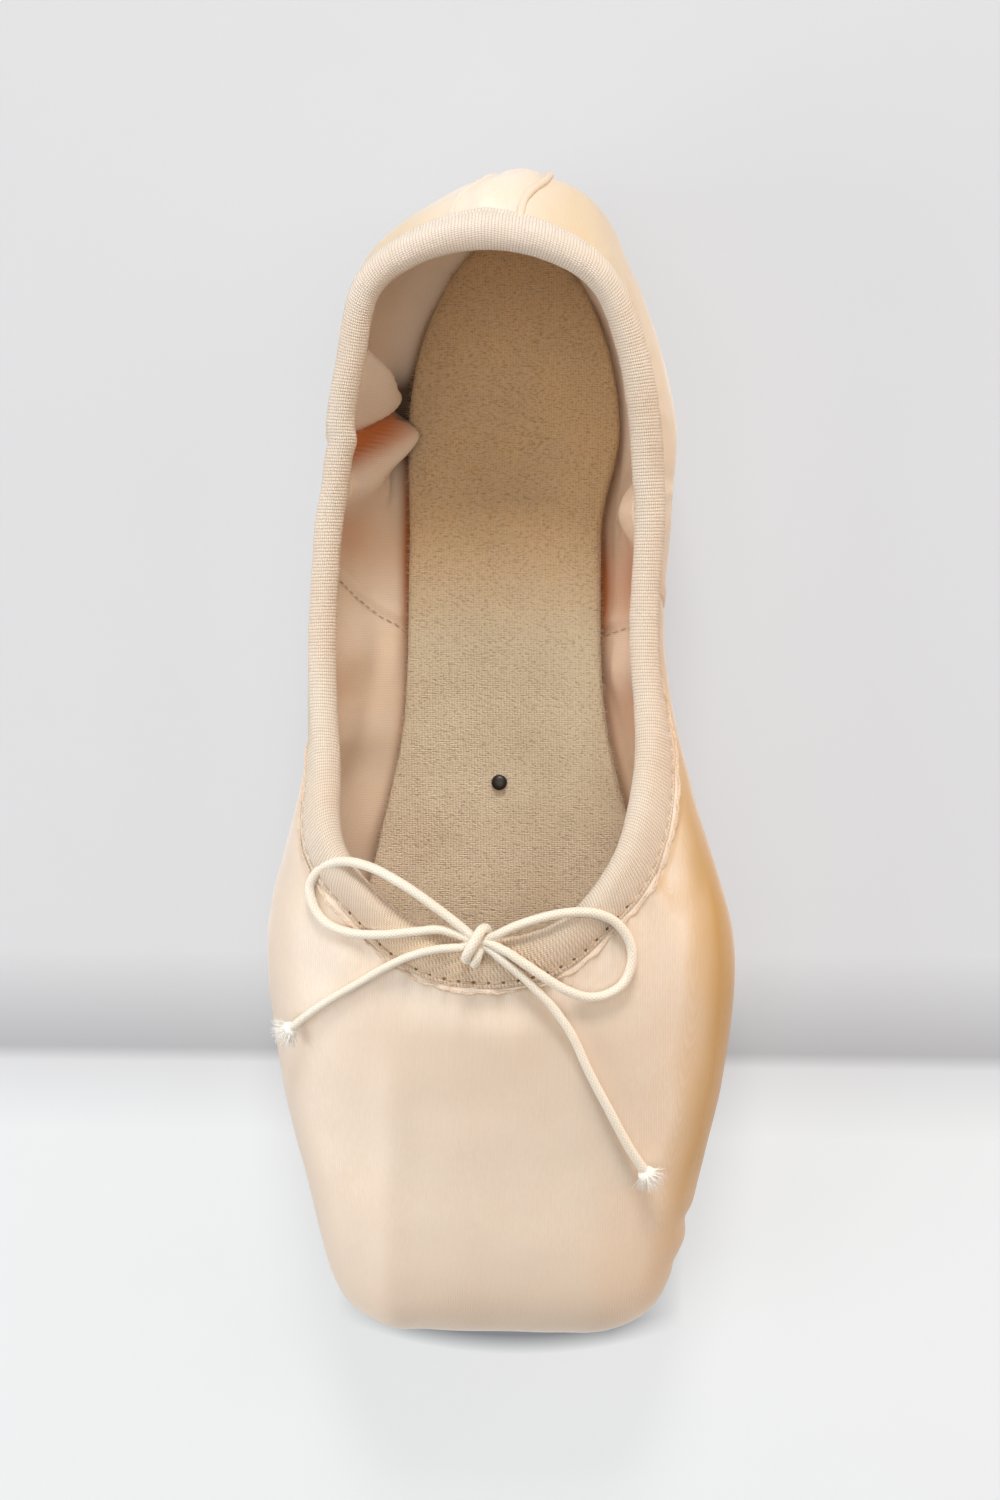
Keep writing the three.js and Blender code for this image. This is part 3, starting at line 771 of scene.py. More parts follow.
def lining_material(colours):
    """Cotton lining, with painted light round the heel, warm painted shade in its creases, and dark painted
    shade in its deepest gap where the mesh is marked.
    """
    made, tree, shader = new_material("Cotton lining", colours.lining, 0.9, sheen=0.15, specular=0.25)
    place = in_place(tree)
    weave = use_group(
        tree, weave_group(), on_cloth(tree), warp_pitch=0.00045, weft_pitch=0.00045, wander=0.0004
    )
    mottle = use_group(tree, mottle_group(), place, slow_scale=60, fast_scale=900)
    tone = mix_colour(tree, mottle["Slow"], colours.lining, colours.lining_warm)
    # Painted light: paler lining round the heel.
    at_heel = ranged(tree, xyz(tree, place)[1], 0.056, 0.066, 0.0, 0.8)
    tone = mix_colour(tree, at_heel, tone, colours.lining_painted_light)
    # Warm painted shade where the mesh marks creases and the insole's edge.
    tone = mix_colour(tree, mesh_mark(tree, "painted_warm_shade"), tone, colours.lining_painted_warm_shade)
    # Dark painted shade in the deep gap beside the insole, in the needle holes' colour.
    tone = mix_colour(tree, mesh_mark(tree, "painted_hollow_shade"), tone, colours.hole)
    gap = ranged(tree, weave["Height"], 0.0, 0.6, 0.3, 0.0)
    tone = mix_colour(tree, gap, tone, colours.lining_deep)
    tree.links.new(tone, shader.inputs["Base Color"])
    bump(tree, shader, weave["Height"], 0.00008, 0.6)
    return made


def tape_material(colours):
    """Woven cotton tape, ribbed and warmer where the drawstring gathers it, with painted shade between the
    gathered ribs and a painted highlight round the back of the heel.
    """
    made, tree, shader = new_material("Cotton tape", colours.tape, 0.85, sheen=0.2, specular=0.3)
    place = in_place(tree)
    cloth = on_cloth(tree)
    weave = use_group(tree, weave_group(), cloth, warp_pitch=0.00063, weft_pitch=0.00042, wander=0.00018)
    mottle = use_group(tree, mottle_group(), place, slow_scale=70, fast_scale=800)
    x, y, _ = xyz(tree, place)
    gathered = ranged(tree, y, -0.027, -0.036)
    tone = mix_colour(tree, mottle["Slow"], colours.tape, colours.tape_warm)
    # Painted highlight: whiter tape round the back of the heel.
    tone = mix_colour(tree, ranged(tree, y, 0.08, 0.1, 0.0, 0.3), tone, colours.tuft)
    warmed = maths(tree, "MULTIPLY", gathered, ranged(tree, x, 0.012, -0.004, 0.25, 0.8))
    tone = mix_colour(tree, warmed, tone, colours.lining_warm)
    gap = ranged(tree, weave["Height"], 0.08, 0.6, 0.8, 0.0)
    tone = mix_colour(tree, gap, tone, colours.tape_deep)
    around, upward, _ = xyz(tree, cloth)
    wander = maths(tree, "MULTIPLY", noise_value(tree, cloth, 120, 1), 9.0)
    fanned = maths(tree, "MULTIPLY_ADD", upward, 0.5, around)
    ribs = maths(tree, "MULTIPLY_ADD", fanned, 2 * math.pi / TAPE_RIB, wander)
    rib = maths(tree, "MULTIPLY", maths(tree, "SINE", ribs), gathered)
    # Painted shade in the troughs between the gathered ribs.
    tone = mix_colour(tree, ranged(tree, rib, -0.2, -1.0, 0.0, 0.24), tone, colours.painted_golden_shade)
    tree.links.new(tone, shader.inputs["Base Color"])
    bump(tree, shader, maths(tree, "MULTIPLY_ADD", rib, 0.55, weave["Height"]), 0.00016, 0.9)
    return made


def insole_material(colours):
    """Napped cloth, browner towards the heel and lighter towards the throat: partly the cloth's own tone,
    partly painted shade from the heel's wall and painted light towards the throat.
    """
    made, tree, shader = new_material("Insole cloth", colours.insole, 0.95, sheen=0.3, specular=0.2)
    place = in_place(tree)
    weave = use_group(tree, weave_group(), place, warp_pitch=0.00056, weft_pitch=0.00042, wander=0.0004)
    mottle = use_group(tree, mottle_group(), place, slow_scale=90, fast_scale=1100)
    drawn = mapped(tree, place, (0.5, 1.15, 1), (0, 0, math.radians(14)))
    slub = noise_value(tree, drawn, 2500, 2, 0.55)
    y = xyz(tree, place)[1]
    # Lighter towards the throat and browner towards the heel: partly the cloth's tone, partly painted light
    # and painted shade from the heel's wall.
    tone = mix_colour(tree, ranged(tree, y, -0.022, 0.014), colours.insole_front_with_painted_light, colours.insole)
    tone = mix_colour(tree, ranged(tree, y, 0.022, 0.044), tone, colours.insole_heel_with_painted_shade)
    tone = mix_colour(tree, maths(tree, "MULTIPLY", mottle["Slow"], 0.4), tone, colours.insole_warm)
    tone = mix_colour(tree, ranged(tree, slub, 0.45, 0.7, 0.0, 0.4), tone, colours.insole_light)
    gap = ranged(tree, weave["Height"], 0.0, 0.5, 0.25, 0.0)
    tone = mix_colour(tree, gap, tone, colours.insole_deep)
    tone = mix_colour(tree, ranged(tree, slub, 0.46, 0.28, 0.0, 0.6), tone, colours.insole_deep)
    tree.links.new(tone, shader.inputs["Base Color"])
    height = maths(tree, "MULTIPLY_ADD", weave["Height"], 0.4, maths(tree, "MULTIPLY", slub, 1.5))
    bump(tree, shader, height, 0.0003, 0.9)
    return made


def leather_material(colours):
    """Suede leather with a fine grain."""
    made, tree, shader = new_material("Sole leather", colours.leather, 0.8, sheen=0.15, specular=0.3)
    place = in_place(tree)
    mottle = use_group(tree, mottle_group(), place, slow_scale=45, fast_scale=1500)
    cells = add_node(tree, "ShaderNodeTexVoronoi")
    cells.inputs["Scale"].default_value = 1400
    tree.links.new(place, cells.inputs["Vector"])
    tone = mix_colour(tree, mottle["Slow"], colours.leather, colours.leather_deep)
    scuffed = maths(tree, "MULTIPLY", mottle["Fast"], 0.35)
    tone = mix_colour(tree, scuffed, tone, colours.leather_light)
    tree.links.new(tone, shader.inputs["Base Color"])
    height = maths(tree, "MULTIPLY_ADD", cells.outputs["Distance"], 0.5, mottle["Fast"])
    bump(tree, shader, height, 0.00015, 0.6)
    return made


def cord_material(colours):
    """Elastic cord with a braided sheath."""
    made, tree, shader = new_material("Braided cord", colours.cord, 0.7, sheen=0.25, specular=0.35)
    around, along, _ = xyz(tree, on_cloth(tree))
    turn = maths(tree, "MULTIPLY", around, 8.0)
    run = maths(tree, "DIVIDE", along, PLAIT)
    strands = []
    for way in ("ADD", "SUBTRACT"):
        wave = maths(tree, "SINE", maths(tree, "MULTIPLY", maths(tree, way, turn, run), math.pi))
        strands.append(maths(tree, "ABSOLUTE", wave))
    plait = maths(tree, "MAXIMUM", *strands)
    mottle = use_group(tree, mottle_group(), in_place(tree), slow_scale=120, fast_scale=1600)
    tone = mix_colour(tree, mottle["Slow"], colours.cord, colours.cord_warm)
    tone = mix_colour(tree, ranged(tree, plait, 0.5, 0.95, 0.5, 0.0), tone, colours.cord_deep)
    tree.links.new(tone, shader.inputs["Base Color"])
    bump(tree, shader, plait, 0.0001, 0.8)
    return made


def fibre_material(name, main, other, roughness, scale, detail=2, low=0.0, high=1.0, relief=None, **finish):
    """A material that turns from one colour to another with fine noise. relief is its bump's depth and
    strength, and finish its sheen and gloss."""
    made, tree, shader = new_material(name, main, roughness, **finish)
    speckle = noise_value(tree, in_place(tree), scale, detail)
    tone = mix_colour(tree, ranged(tree, speckle, low, high), main, other)
    tree.links.new(tone, shader.inputs["Base Color"])
    if relief:
        bump(tree, shader, speckle, *relief)
    return made


def tuft_material(colours):
    """Loose white fibres."""
    return fibre_material(
        "Frayed fibre", colours.tuft, colours.cord, 0.8, 1800, low=0.3, high=0.7,
        relief=(0.00008, 0.6), sheen=0.4, specular=0.3,
    )


def thread_material(colours):
    """Twisted sewing thread."""
    return fibre_material(
        "Sewing thread", colours.thread, colours.tape_deep, 0.6, 3000,
        relief=(0.00005, 0.5), sheen=0.2, specular=0.4,
    )


def raw_edge_material(colours):
    """The satin's turned edge."""
    return fibre_material(
        "Satin edge", colours.satin_edge, colours.satin, 0.75, 2600, detail=3, low=0.3, high=0.7,
        relief=(0.0001, 0.8), sheen=0.3, specular=0.3,
    )


def hole_material(colours):
    """The shade inside a needle hole."""
    return fibre_material("Needle hole", colours.hole, colours.insole_deep, 0.9, 2000, specular=0.1)


def steel_material(colours):
    """Dark scratched steel."""
    made, tree, shader = new_material("Dark steel", colours.nail, 0.4, specular=0.5, metallic=0.85)
    scratches = noise_value(tree, in_place(tree), 2500, 4)
    tree.links.new(ranged(tree, scratches, 0.3, 0.7, 0.3, 0.6), shader.inputs["Roughness"])
    bump(tree, shader, scratches, 0.00003, 0.5)
    return made


def floor_material(colours):
    """A pale floor that lights itself faintly, greyer further back, with shade under the toe."""
    made, tree, shader = new_material("Pale floor", colours.floor, 0.7, specular=0.3)
    place = in_place(tree)
    x, y, _ = xyz(tree, place)
    tone = mix_colour(tree, ranged(tree, y, -0.0635, -0.08), colours.floor_far, colours.floor)
    dip = maths(tree, "MULTIPLY", ranged(tree, y, -0.042, -0.062), ranged(tree, y, -0.0655, -0.0625))
    tone = mix_colour(tree, dip, tone, colours.floor_fold)
    grain = maths(tree, "MULTIPLY", noise_value(tree, place, 60, 3), 0.04)
    tone = mix_colour(tree, grain, tone, colours.floor_fold)
    aside = maths(tree, "ABSOLUTE", x)
    shade_edge = maths(tree, "MULTIPLY_ADD", maths(tree, "MULTIPLY", aside, aside), 5.0, -0.1215)
    beyond = maths(tree, "SUBTRACT", y, shade_edge)
    under_toe = maths(tree, "MULTIPLY", ranged(tree, beyond, -0.004, 0.0), ranged(tree, aside, 0.036, 0.021))
    under_toe = maths(tree, "MULTIPLY", under_toe, ranged(tree, y, -0.09, -0.1, 0.0, 0.9))
    tone = mix_colour(tree, under_toe, tone, colours.floor_shade)
    tree.links.new(tone, shader.inputs["Base Color"])
    tree.links.new(tone, shader.inputs["Emission Color"])
    shader.inputs["Emission Strength"].default_value = 2.25
    return made


# ---- Sizes and colours --------------------------------------------------------------------
def length_setting(name, text, default):
    """A length that the user can change, in metres."""
    return bpy.props.FloatProperty(
        name=name, description=text, default=default, min=0, unit="LENGTH", precision=5
    )


def colour_setting(name, text, default):
    """A colour that the user can change."""
    return bpy.props.FloatVectorProperty(
        name=name, description=text, default=default, size=3, min=0, max=1, subtype="COLOR"
    )


class ShoeSizes(bpy.types.PropertyGroup):
    """Sizes of the fine pieces that dress the frame"""

    cord_diameter: length_setting("Cord diameter", "Thickness of the elastic drawstring", 0.0019)
    tape_layer: length_setting("Tape layer", "Thickness of the tape where it lies on the satin", 0.0006)
    casing_radius: length_setting("Casing radius", "Radius of the rolled topline", 0.0027)
    stitch_pitch: length_setting("Stitch pitch", "Length of one stitch along the binding", 0.0028)
    thread_diameter: length_setting("Thread diameter", "Thickness of the sewing thread", 0.00038)


class ShoeColours(bpy.types.PropertyGroup):
    """Colours of every material, and of the floor"""

    satin: colour_setting("Satin", "Main colour of the satin", (0.74, 0.62, 0.50))
    satin_warm: colour_setting("Satin, warm", "Warmer patches of the satin", (0.74, 0.58, 0.44))
    # Pale raised threads of the satin, and also the painted highlight at the back of the heel.
    satin_threads_and_painted_highlight: colour_setting("Satin, lit", "Raised threads of the satin", (0.82, 0.73, 0.61))
    # Painted shade and painted warm reflection on the satin's right flank, and the painted shade between the
    # tape's gathered ribs.
    painted_golden_shade: colour_setting("Satin, flank", "Golden satin on the right flank", (0.495, 0.275, 0.058))
    # Painted golden sheen on the sides of the heel.
    satin_painted_golden_sheen: colour_setting("Satin, heel", "Golden satin at the sides of the heel", (0.66, 0.51, 0.33))
    # Painted shade on the left flank and on the vamp below the tape at the throat.
    satin_shade: colour_setting("Satin, duller", "Duller satin of vamp and left flank", (0.62, 0.48, 0.36))
    lining: colour_setting("Lining", "Cotton lining", (0.88, 0.70, 0.54))
    lining_warm: colour_setting("Lining, warm", "Warmer patches of the lining", (0.86, 0.64, 0.43))
    # Painted light on the lining round the heel.
    lining_painted_light: colour_setting("Lining, heel", "Paler lining round the heel", (0.98, 0.82, 0.64))
    # Warm painted shade in the lining's deep creases and along the insole's edge.
    lining_painted_warm_shade: colour_setting("Lining, creased", "Deep creases of the lining", (0.62, 0.17, 0.035))
    lining_deep: colour_setting("Lining, deep", "Between the threads of the lining", (0.50, 0.33, 0.21))
    tape: colour_setting("Tape", "Binding tape", (0.84, 0.74, 0.61))
    tape_warm: colour_setting("Tape, warm", "Warmer patches of the tape", (0.82, 0.67, 0.53))
    tape_deep: colour_setting("Tape, deep", "Between the threads of the tape", (0.48, 0.34, 0.23))
    insole: colour_setting("Insole", "Insole cloth at the waist", (0.63, 0.52, 0.355))
    # Lighter towards the throat: partly the cloth's tone, partly painted light.
    insole_front_with_painted_light: colour_setting("Insole, front", "Lighter cloth towards the throat", (0.86, 0.70, 0.51))
    # Browner at the heel: partly the cloth's tone, partly painted shade from the heel's wall.
    insole_heel_with_painted_shade: colour_setting("Insole, heel", "Browner cloth at the heel", (0.69, 0.445, 0.22))
    insole_warm: colour_setting("Insole, warm", "Warmer patches of the insole", (0.55, 0.40, 0.25))
    insole_light: colour_setting("Insole, napped", "Raised fibres of the insole", (0.74, 0.60, 0.42))
    insole_deep: colour_setting("Insole, deep", "Between the threads of the insole", (0.28, 0.18, 0.10))
    leather: colour_setting("Leather", "Outer sole", (0.58, 0.43, 0.29))
    leather_deep: colour_setting("Leather, deep", "Darker patches of the sole", (0.47, 0.33, 0.21))
    leather_light: colour_setting("Leather, light", "Scuffed fibres of the sole", (0.72, 0.58, 0.43))
    cord: colour_setting("Cord", "Elastic drawstring", (0.86, 0.80, 0.69))
    cord_warm: colour_setting("Cord, warm", "Warmer stretches of the cord", (0.85, 0.76, 0.62))
    cord_deep: colour_setting("Cord, deep", "Between the plaits of the cord", (0.60, 0.48, 0.35))
    thread: colour_setting("Thread", "Sewing thread", (0.62, 0.44, 0.29))
    satin_edge: colour_setting("Satin edge", "Turned raw edge of the satin", (0.58, 0.40, 0.25))
    # Also the dark painted shade in the lining's deep gap beside the insole.
    hole: colour_setting("Needle hole", "Shade inside the needle holes", (0.10, 0.06, 0.035))
    # Also the painted highlight on the tape round the back of the heel.
    tuft: colour_setting("Tuft", "Frayed fibres at the drawstring's ends", (0.95, 0.94, 0.91))
    nail: colour_setting("Nail", "Nail head in the insole", (0.05, 0.045, 0.04))
    floor: colour_setting("Floor", "Pale floor in front", (0.251, 0.256, 0.258))
    floor_far: colour_setting("Floor, far", "Greyer floor further back", (0.211, 0.212, 0.216))
    floor_fold: colour_setting("Floor, fold", "Shade where the two meet", (0.142, 0.142, 0.146))
    floor_shade: colour_setting("Floor, shade", "Shade under the toe", (0.055, 0.057, 0.062))


# ---- Upper --------------------------------------------------------------------------------
SHELL_STATIONS = 560
SATIN_TOP = 5.6  # how far below the topline the satin ends, under the tape
OUTSIDE_ROWS = 92
INSIDE_ROWS = 84
SHEET_WELD = 0.00001


def shell_wall(grid, share):
    """Wall thickness in millimetres on the shell. share runs from the edge underneath to the seam."""
    along = grid[..., 1] + LENGTH / 2
    in_box = 1 - smoothstep(along, 88, 112)
    turned_up = smoothstep(share, 0.16, 0.3) * (1 - smoothstep(share, 0.86, 0.97))
    return QUARTER_WALL + (BOX_WALL - QUARTER_WALL) * in_box * turned_up


def pleat_height(last, up):
    """Pleats of the satin drawn in under the toe, strongest at the outsole's edge."""
    foot = last.foot[None, :]
    draw = np.random.default_rng(5)
    places = np.linspace(-PLEAT_REACH, PLEAT_REACH, PLEATS) + draw.uniform(-0.8, 0.8, PLEATS)
    height = np.zeros((up.shape[0], last.stations))
    for place in places:
        wide = draw.uniform(1.0, 1.5)
        height += draw.uniform(0.7, 1.1) * soft((foot - place - 0.06 * (up - 8)) / wide)
    edge = 1 - smoothstep(np.abs(foot), PLEAT_REACH - 6, PLEAT_REACH + 4)
    return height * edge * smoothstep(up, 3.5, 8) * (1 - smoothstep(up, 17, 27))


def box_corners(grid, below):
    """The flat top of the box and its soft corners."""
    x, y, z = grid[..., 0], grid[..., 1], grid[..., 2]
    toeward = smoothstep(-y, 50, 112)
    reach = smoothstep(-y, 48, 66) * smoothstep(z, 14, 28) * smoothstep(below, 8, 16)
    height = np.zeros_like(x)
    for corner in BOX_CORNERS:
        line = corner["x_vamp"] + (corner["x_toe"] - corner["x_vamp"]) * toeward
        height += corner["lift"] * soft((x - line) / corner["wide"])
    return height * reach


def side_seam_y(z):
    """Where the side seams run: they lean forward towards the sole."""
    top, bottom = SIDE_SEAM_Y
    return bottom + (top - bottom) * smoothstep(z, 4, 42)


def lining_seam_y(z, side, offset=0.0):
    """Where the lining's seam runs on one side: it leans forward towards the insole."""
    top, bottom = LINING_SEAM_Y[side]
    share = np.clip((np.asarray(z, float) - 8) / 28, 0, 1)
    return bottom + (top - bottom) * share ** 0.8 + offset


def back_seam_x(z, side):
    """Where the back strip's seams run: it narrows towards the sole."""
    return side * BACK_SEAM_HALF * (0.62 + 0.38 * smoothstep(z, 8, 50))


def seam_lines(grid, below):
    """Shallow troughs beside the back strip's seams and along the side seams."""
    x, y, z = grid[..., 0], grid[..., 1], grid[..., 2]
    at_back = smoothstep(y, 80, 92) * smoothstep(below, 8, 11)
    back = np.zeros_like(x)
    for side in (-1, 1):
        away = np.abs(x - back_seam_x(z, side))
        back += -0.3 * soft((away - 1.7) / 0.8)
    back += 0.35 * soft(x / 4.0)
    from_side = y - side_seam_y(z)
    beside = smoothstep(np.abs(x), 18, 24) * smoothstep(below, 9, 12)
    side_seam = beside * (0.35 * soft((from_side - 1.4) / 1.3) - 0.35 * soft((from_side + 0.7) / 0.7))
    return back * at_back + side_seam


def lip_height(girth, below):
    """The turned satin edge that shows just outside the tape at the throat."""
    draw = np.random.default_rng(11)
    waves = np.zeros_like(girth)
    for _ in range(6):
        waves += draw.uniform(0.1, 0.25) * np.sin(girth / draw.uniform(1.6, 6) + draw.uniform(0, 6))
    edge = tape_width(girth) + 1.7 + waves
    shown = 1 - smoothstep(np.abs(girth), 75, 110)
    return 0.2 * shown * (1 - smoothstep(below, edge, edge + 0.5))


class Shell:
    """The upper's outer and inner faces, kept for the pieces that lie on them."""

    def __init__(self):
        last = self.last = Last(SHELL_STATIONS)
        seam = last.total - SATIN_TOP
        lengths = np.linspace(0, 1, OUTSIDE_ROWS)[:, None] * seam[None, :]
        self.plain = smooth_grid(last.at(lengths), 3)
        self.below = last.total[None, :] - lengths
        self.normals = grid_normals(self.plain)
        girth = last.girth[None, :]
        height = folds(SATIN_FOLDS, girth, self.below) + box_corners(self.plain, self.below)
        height += gathers(girth, self.below, seed=3, start=TAPE_WIDTH, reach=9, lift=0.42)
        throat = gathers(girth, self.below, seed=4, start=TAPE_WIDTH, reach=14, lift=0.5)
        height += throat * soft(girth / 38)
        height += seam_lines(self.plain, self.below) + lip_height(girth, self.below)
        height += pleat_height(last, lengths)
        height += hand_made(self.plain, 21, 0.5, 1) + hand_made(self.plain, 7, 0.12, 2)
        self.height = height
        width = tape_width(girth)
        sunk = 0.9 * (1 - smoothstep(self.below, width - 1.2, width + 0.4))
        self.satin = pushed(self.plain + self.normals * (height - sunk)[..., None])
        picks = np.linspace(0, OUTSIDE_ROWS - 1, INSIDE_ROWS).astype(int)
        wall = shell_wall(self.plain, lengths / seam[None, :])
        inner = self.plain[picks] - self.normals[picks] * wall[picks][..., None]
        relief = lining_relief(inner)
        self.inner_plain = inner
        self.inner_normals = -self.normals[picks]
        self.lining = pushed(inner + self.normals[picks] * relief[..., None], "lining")

    def round_line(self, below, lift, reach):
        """A line on the satin at a distance below the topline, from -reach to reach round the throat."""
        facing = grid_normals(self.satin)
        points, facings = [], []
        for station in stations_within(self.last.girth, reach):
            depth = self.below[::-1, station]
            want = below[station]
            spot = [np.interp(want, depth, self.satin[::-1, station, axis]) for axis in range(3)]
            turn = [np.interp(want, depth, facing[::-1, station, axis]) for axis in range(3)]
            facings.append(np.array(turn) / np.linalg.norm(turn))
            points.append(np.array(spot) + facings[-1] * lift)
        return np.array(points), np.array(facings)

    def line(self, low, high, axis, place, lift, inside=False):
        """A line down the shell, inside the box from low to high, lifted off its face.

        On each row, place gives where the line crosses an axis from the row's height."""
        plain = self.inner_plain if inside else self.plain
        normals = self.inner_normals if inside else self.normals
        height = np.zeros(plain.shape[:2]) if inside else self.height
        points, facings = [], []
        for row in range(len(plain)):
            chosen = np.flatnonzero(np.all((plain[row] > low) & (plain[row] < high), axis=1))
            if len(chosen) < 4:
                continue
            order = chosen[np.argsort(plain[row, chosen, axis])]
            keys = plain[row, order, axis]
            target = place(plain[row, chosen, 2].mean())
            if not keys[0] < target < keys[-1]:
                continue
            raised = plain[row, order] + normals[row, order] * (height[row, order] + lift)[:, None]
            points.append(at_length(target, keys, raised))
            facings.append(at_length(target, keys, normals[row, order]))
        return pushed(np.array(points), "lining" if inside else "satin"), np.array(facings)


@functools.cache
def shell():
    """The shell's faces, worked out once."""
    return Shell()


def build_upper(colours):
    """The satin and its lining, as one wall."""
    faces = shell()
    piece, row = wrapped_cloth(np.concatenate([faces.satin, faces.lining[::-1]]))
    paint_rows(piece.data, row)
    paint_creases(piece.data)
    weld(SHEET_WELD)
    piece = settle("upper_shell", [satin_material(colours), lining_material(colours)])
    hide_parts("upper")


def lining_relief(inner):
    """Seams and unevenness of the lining."""
    x, y, z = inner[..., 0], inner[..., 1], inner[..., 2]
    from_side = y - np.where(x < 0, lining_seam_y(z, -1), lining_seam_y(z, 1))
    beside = smoothstep(np.abs(x), 14, 20)
    seam = -0.7 * soft((from_side - 1.6) / 1.3) + 0.4 * soft((from_side + 0.7) / 0.7)
    return beside * seam + hand_made(inner, 14, 0.4, 4) + hand_made(inner, 6, 0.18, 9)


def paint_rows(mesh, row):
    """Faces between the inside rows take the lining, the rest the satin."""
    corners = corner_vertices(mesh)
    starts = np.empty(len(mesh.polygons), int)
    mesh.polygons.foreach_get("loop_start", starts)
    low = np.minimum.reduce([row[corners[starts + k]] for k in range(4)])
    lined = (low >= OUTSIDE_ROWS - 1) & (low < OUTSIDE_ROWS + INSIDE_ROWS - 1)
    mesh.polygons.foreach_set("material_index", lined.astype(int))


def paint_creases(mesh):
    """Marks painted shade for the lining's material, as attributes: warm painted shade in its deep creases
    and along the insole's edge, and dark painted shade in the deep gap beside the deepest fold.
    """
    places = np.empty(len(mesh.vertices) * 3)
    mesh.vertices.foreach_get("co", places)
    x, y, z = places.reshape(-1, 3).T / MM
    painted_warm_shade = np.zeros_like(x)
    for crease in LINING_CREASE_PAINTED_SHADE:
        painted_warm_shade += crease["deep"] * felt(crease, y, z) * (x * crease["side"] > 8)
    half = np.interp(y + LENGTH / 2, INSOLE_EDGE[:, 1], INSOLE_EDGE[:, 0])
    half = half + INSOLE_SPREAD * smoothstep(y, 44, 66) * (x > 0)
    beside = soft((np.abs(x) - half - 0.2) / 1.3) * (z < 11)
    # Warm painted shade in the gap along the insole's edge, strongest on the left.
    reddest_painted_shade = np.where(x < 0, soft((y - 42) / 19), 0.8 * soft((y - 33) / 9))
    painted_warm_shade += beside * (0.25 + reddest_painted_shade)
    # Dark painted shade in the deep gap beside the fold, and along the insole's edge.
    painted_hollow_shade = 1.6 * felt(HOLLOW_PAINTED_SHADE, y, z) * (x < -8) + 0.5 * beside
    for name, values in (("painted_warm_shade", painted_warm_shade), ("painted_hollow_shade", painted_hollow_shade)):
        layer = mesh.attributes.new(name, "FLOAT", "POINT")
        layer.data.foreach_set("value", np.clip(values, 0, 1))


class SHOE_OT_upper(bpy.types.Operator):
    """Wraps the satin and its lining on the last"""

    bl_idname = "shoe.upper"
    bl_label = "Upper"

    def execute(self, context):
        build_upper(context.scene.shoe_colours)
        return {"FINISHED"}


# ---- Binding ------------------------------------------------------------------------------
TAPE_STATIONS = 900
STITCH_HALF = 0.36  # half a stitch's length, as a share of the pitch
STITCH_ROUND = (8, 6)  # segments and rings of a stitch


def tape_section(sizes):
    """Cross-section of the folded tape: share of the tape's width below the topline, a further distance
    below it and the distance out from the satin, both in millimetres."""
    layer = sizes.tape_layer / MM
    roll = sizes.casing_radius / MM
    middle = -QUARTER_WALL / 2
    outer = [(1, 0, 0.0), (1, 0.1, layer * 0.5), (1, -0.2, layer * 0.95), (1, -0.8, layer * 1.02)]
    swell = roll + middle - layer
    outer += [(0.86, 0, layer * 1.03), (0.77, 0, layer + 0.38 * swell), (0.67, 0, layer + 0.78 * swell)]
    turns = np.radians(np.linspace(-12, 200, 16))
    rolled = [(0, roll * (1 - math.sin(turn)) - 0.15, middle + roll * math.cos(turn)) for turn in turns]
    inner_out = middle * 2 - layer
    inner = [(share, 0, inner_out - 0.5 * (0.9 - share)) for share in (0.5, 0.6, 0.7, 0.8)]
    inner += [(0.88, 0, inner_out), (0.89, 0, inner_out + layer * 0.5), (0.87, 0, middle * 2 + 0.05)]
    under = [(0.75, 0, middle * 1.6), (0.75, 0, middle * 0.6)]
    return outer + rolled + inner + under


def tape_width(girth):
    """How much of the tape lies on the outside: most at the throat, least at the sides."""
    side = smoothstep(np.abs(girth), 42, 75)
    back = smoothstep(np.abs(girth), 150, 180)
    return 9.1 - 1.7 * side + 2.0 * back


def tape_puckers(girth):
    """How far the tape ripples, most at the knot and the heel where the drawstring pulls."""
    return 0.10 + 0.35 * soft(girth / 17) + 0.06 * smoothstep(np.abs(girth), 150, 185)


def binding_grid(last, section):
    """The tape's surface: rows round its section, columns round the topline."""
    width = tape_width(last.girth)
    downs = np.array([share * width + extra for share, extra, _ in section])
    outs = np.array([out for _, _, out in section])
    lengths = last.total - np.maximum(downs, 0.02)
    grid = last.at(lengths)
    probes = last.at(np.stack([last.total - TAPE_WIDTH, last.total - TAPE_WIDTH / 2, last.total - 0.02]))
    probes = smooth_grid(probes, 30)
    facing = grid_normals(probes)[1]
    upward = probes[2] - probes[1]
    upward /= np.linalg.norm(upward, axis=-1, keepdims=True)
    middle = smooth_grid(last.at(np.stack([last.total - TAPE_WIDTH / 2] * 3)), 6)[1]
    girth = last.girth
    ripple = gathers(girth[None, :], np.zeros((1, 1)), seed=21, start=1, reach=9, lift=1.0)[0]
    wave = ripple * tape_puckers(girth)
    out = np.empty_like(grid)
    for row, (down, outwards) in enumerate(zip(downs, outs)):
        flat = middle + upward * (TAPE_WIDTH / 2 - down)[:, None]
        blend = smoothstep(down, 2.5, TAPE_WIDTH - 2)[:, None]
        base = grid[row] * blend + flat * (1 - blend)
        surface = math.copysign(1, outwards + QUARTER_WALL / 2)
        lift = wave * smoothstep(width - down, 0, 3) * surface
        lift = lift + max(outwards - 0.6, 0) * 0.6 * smoothstep(np.abs(girth), 140, 178)
        out[row] = base + facing * (outwards + lift)[:, None]
    return out


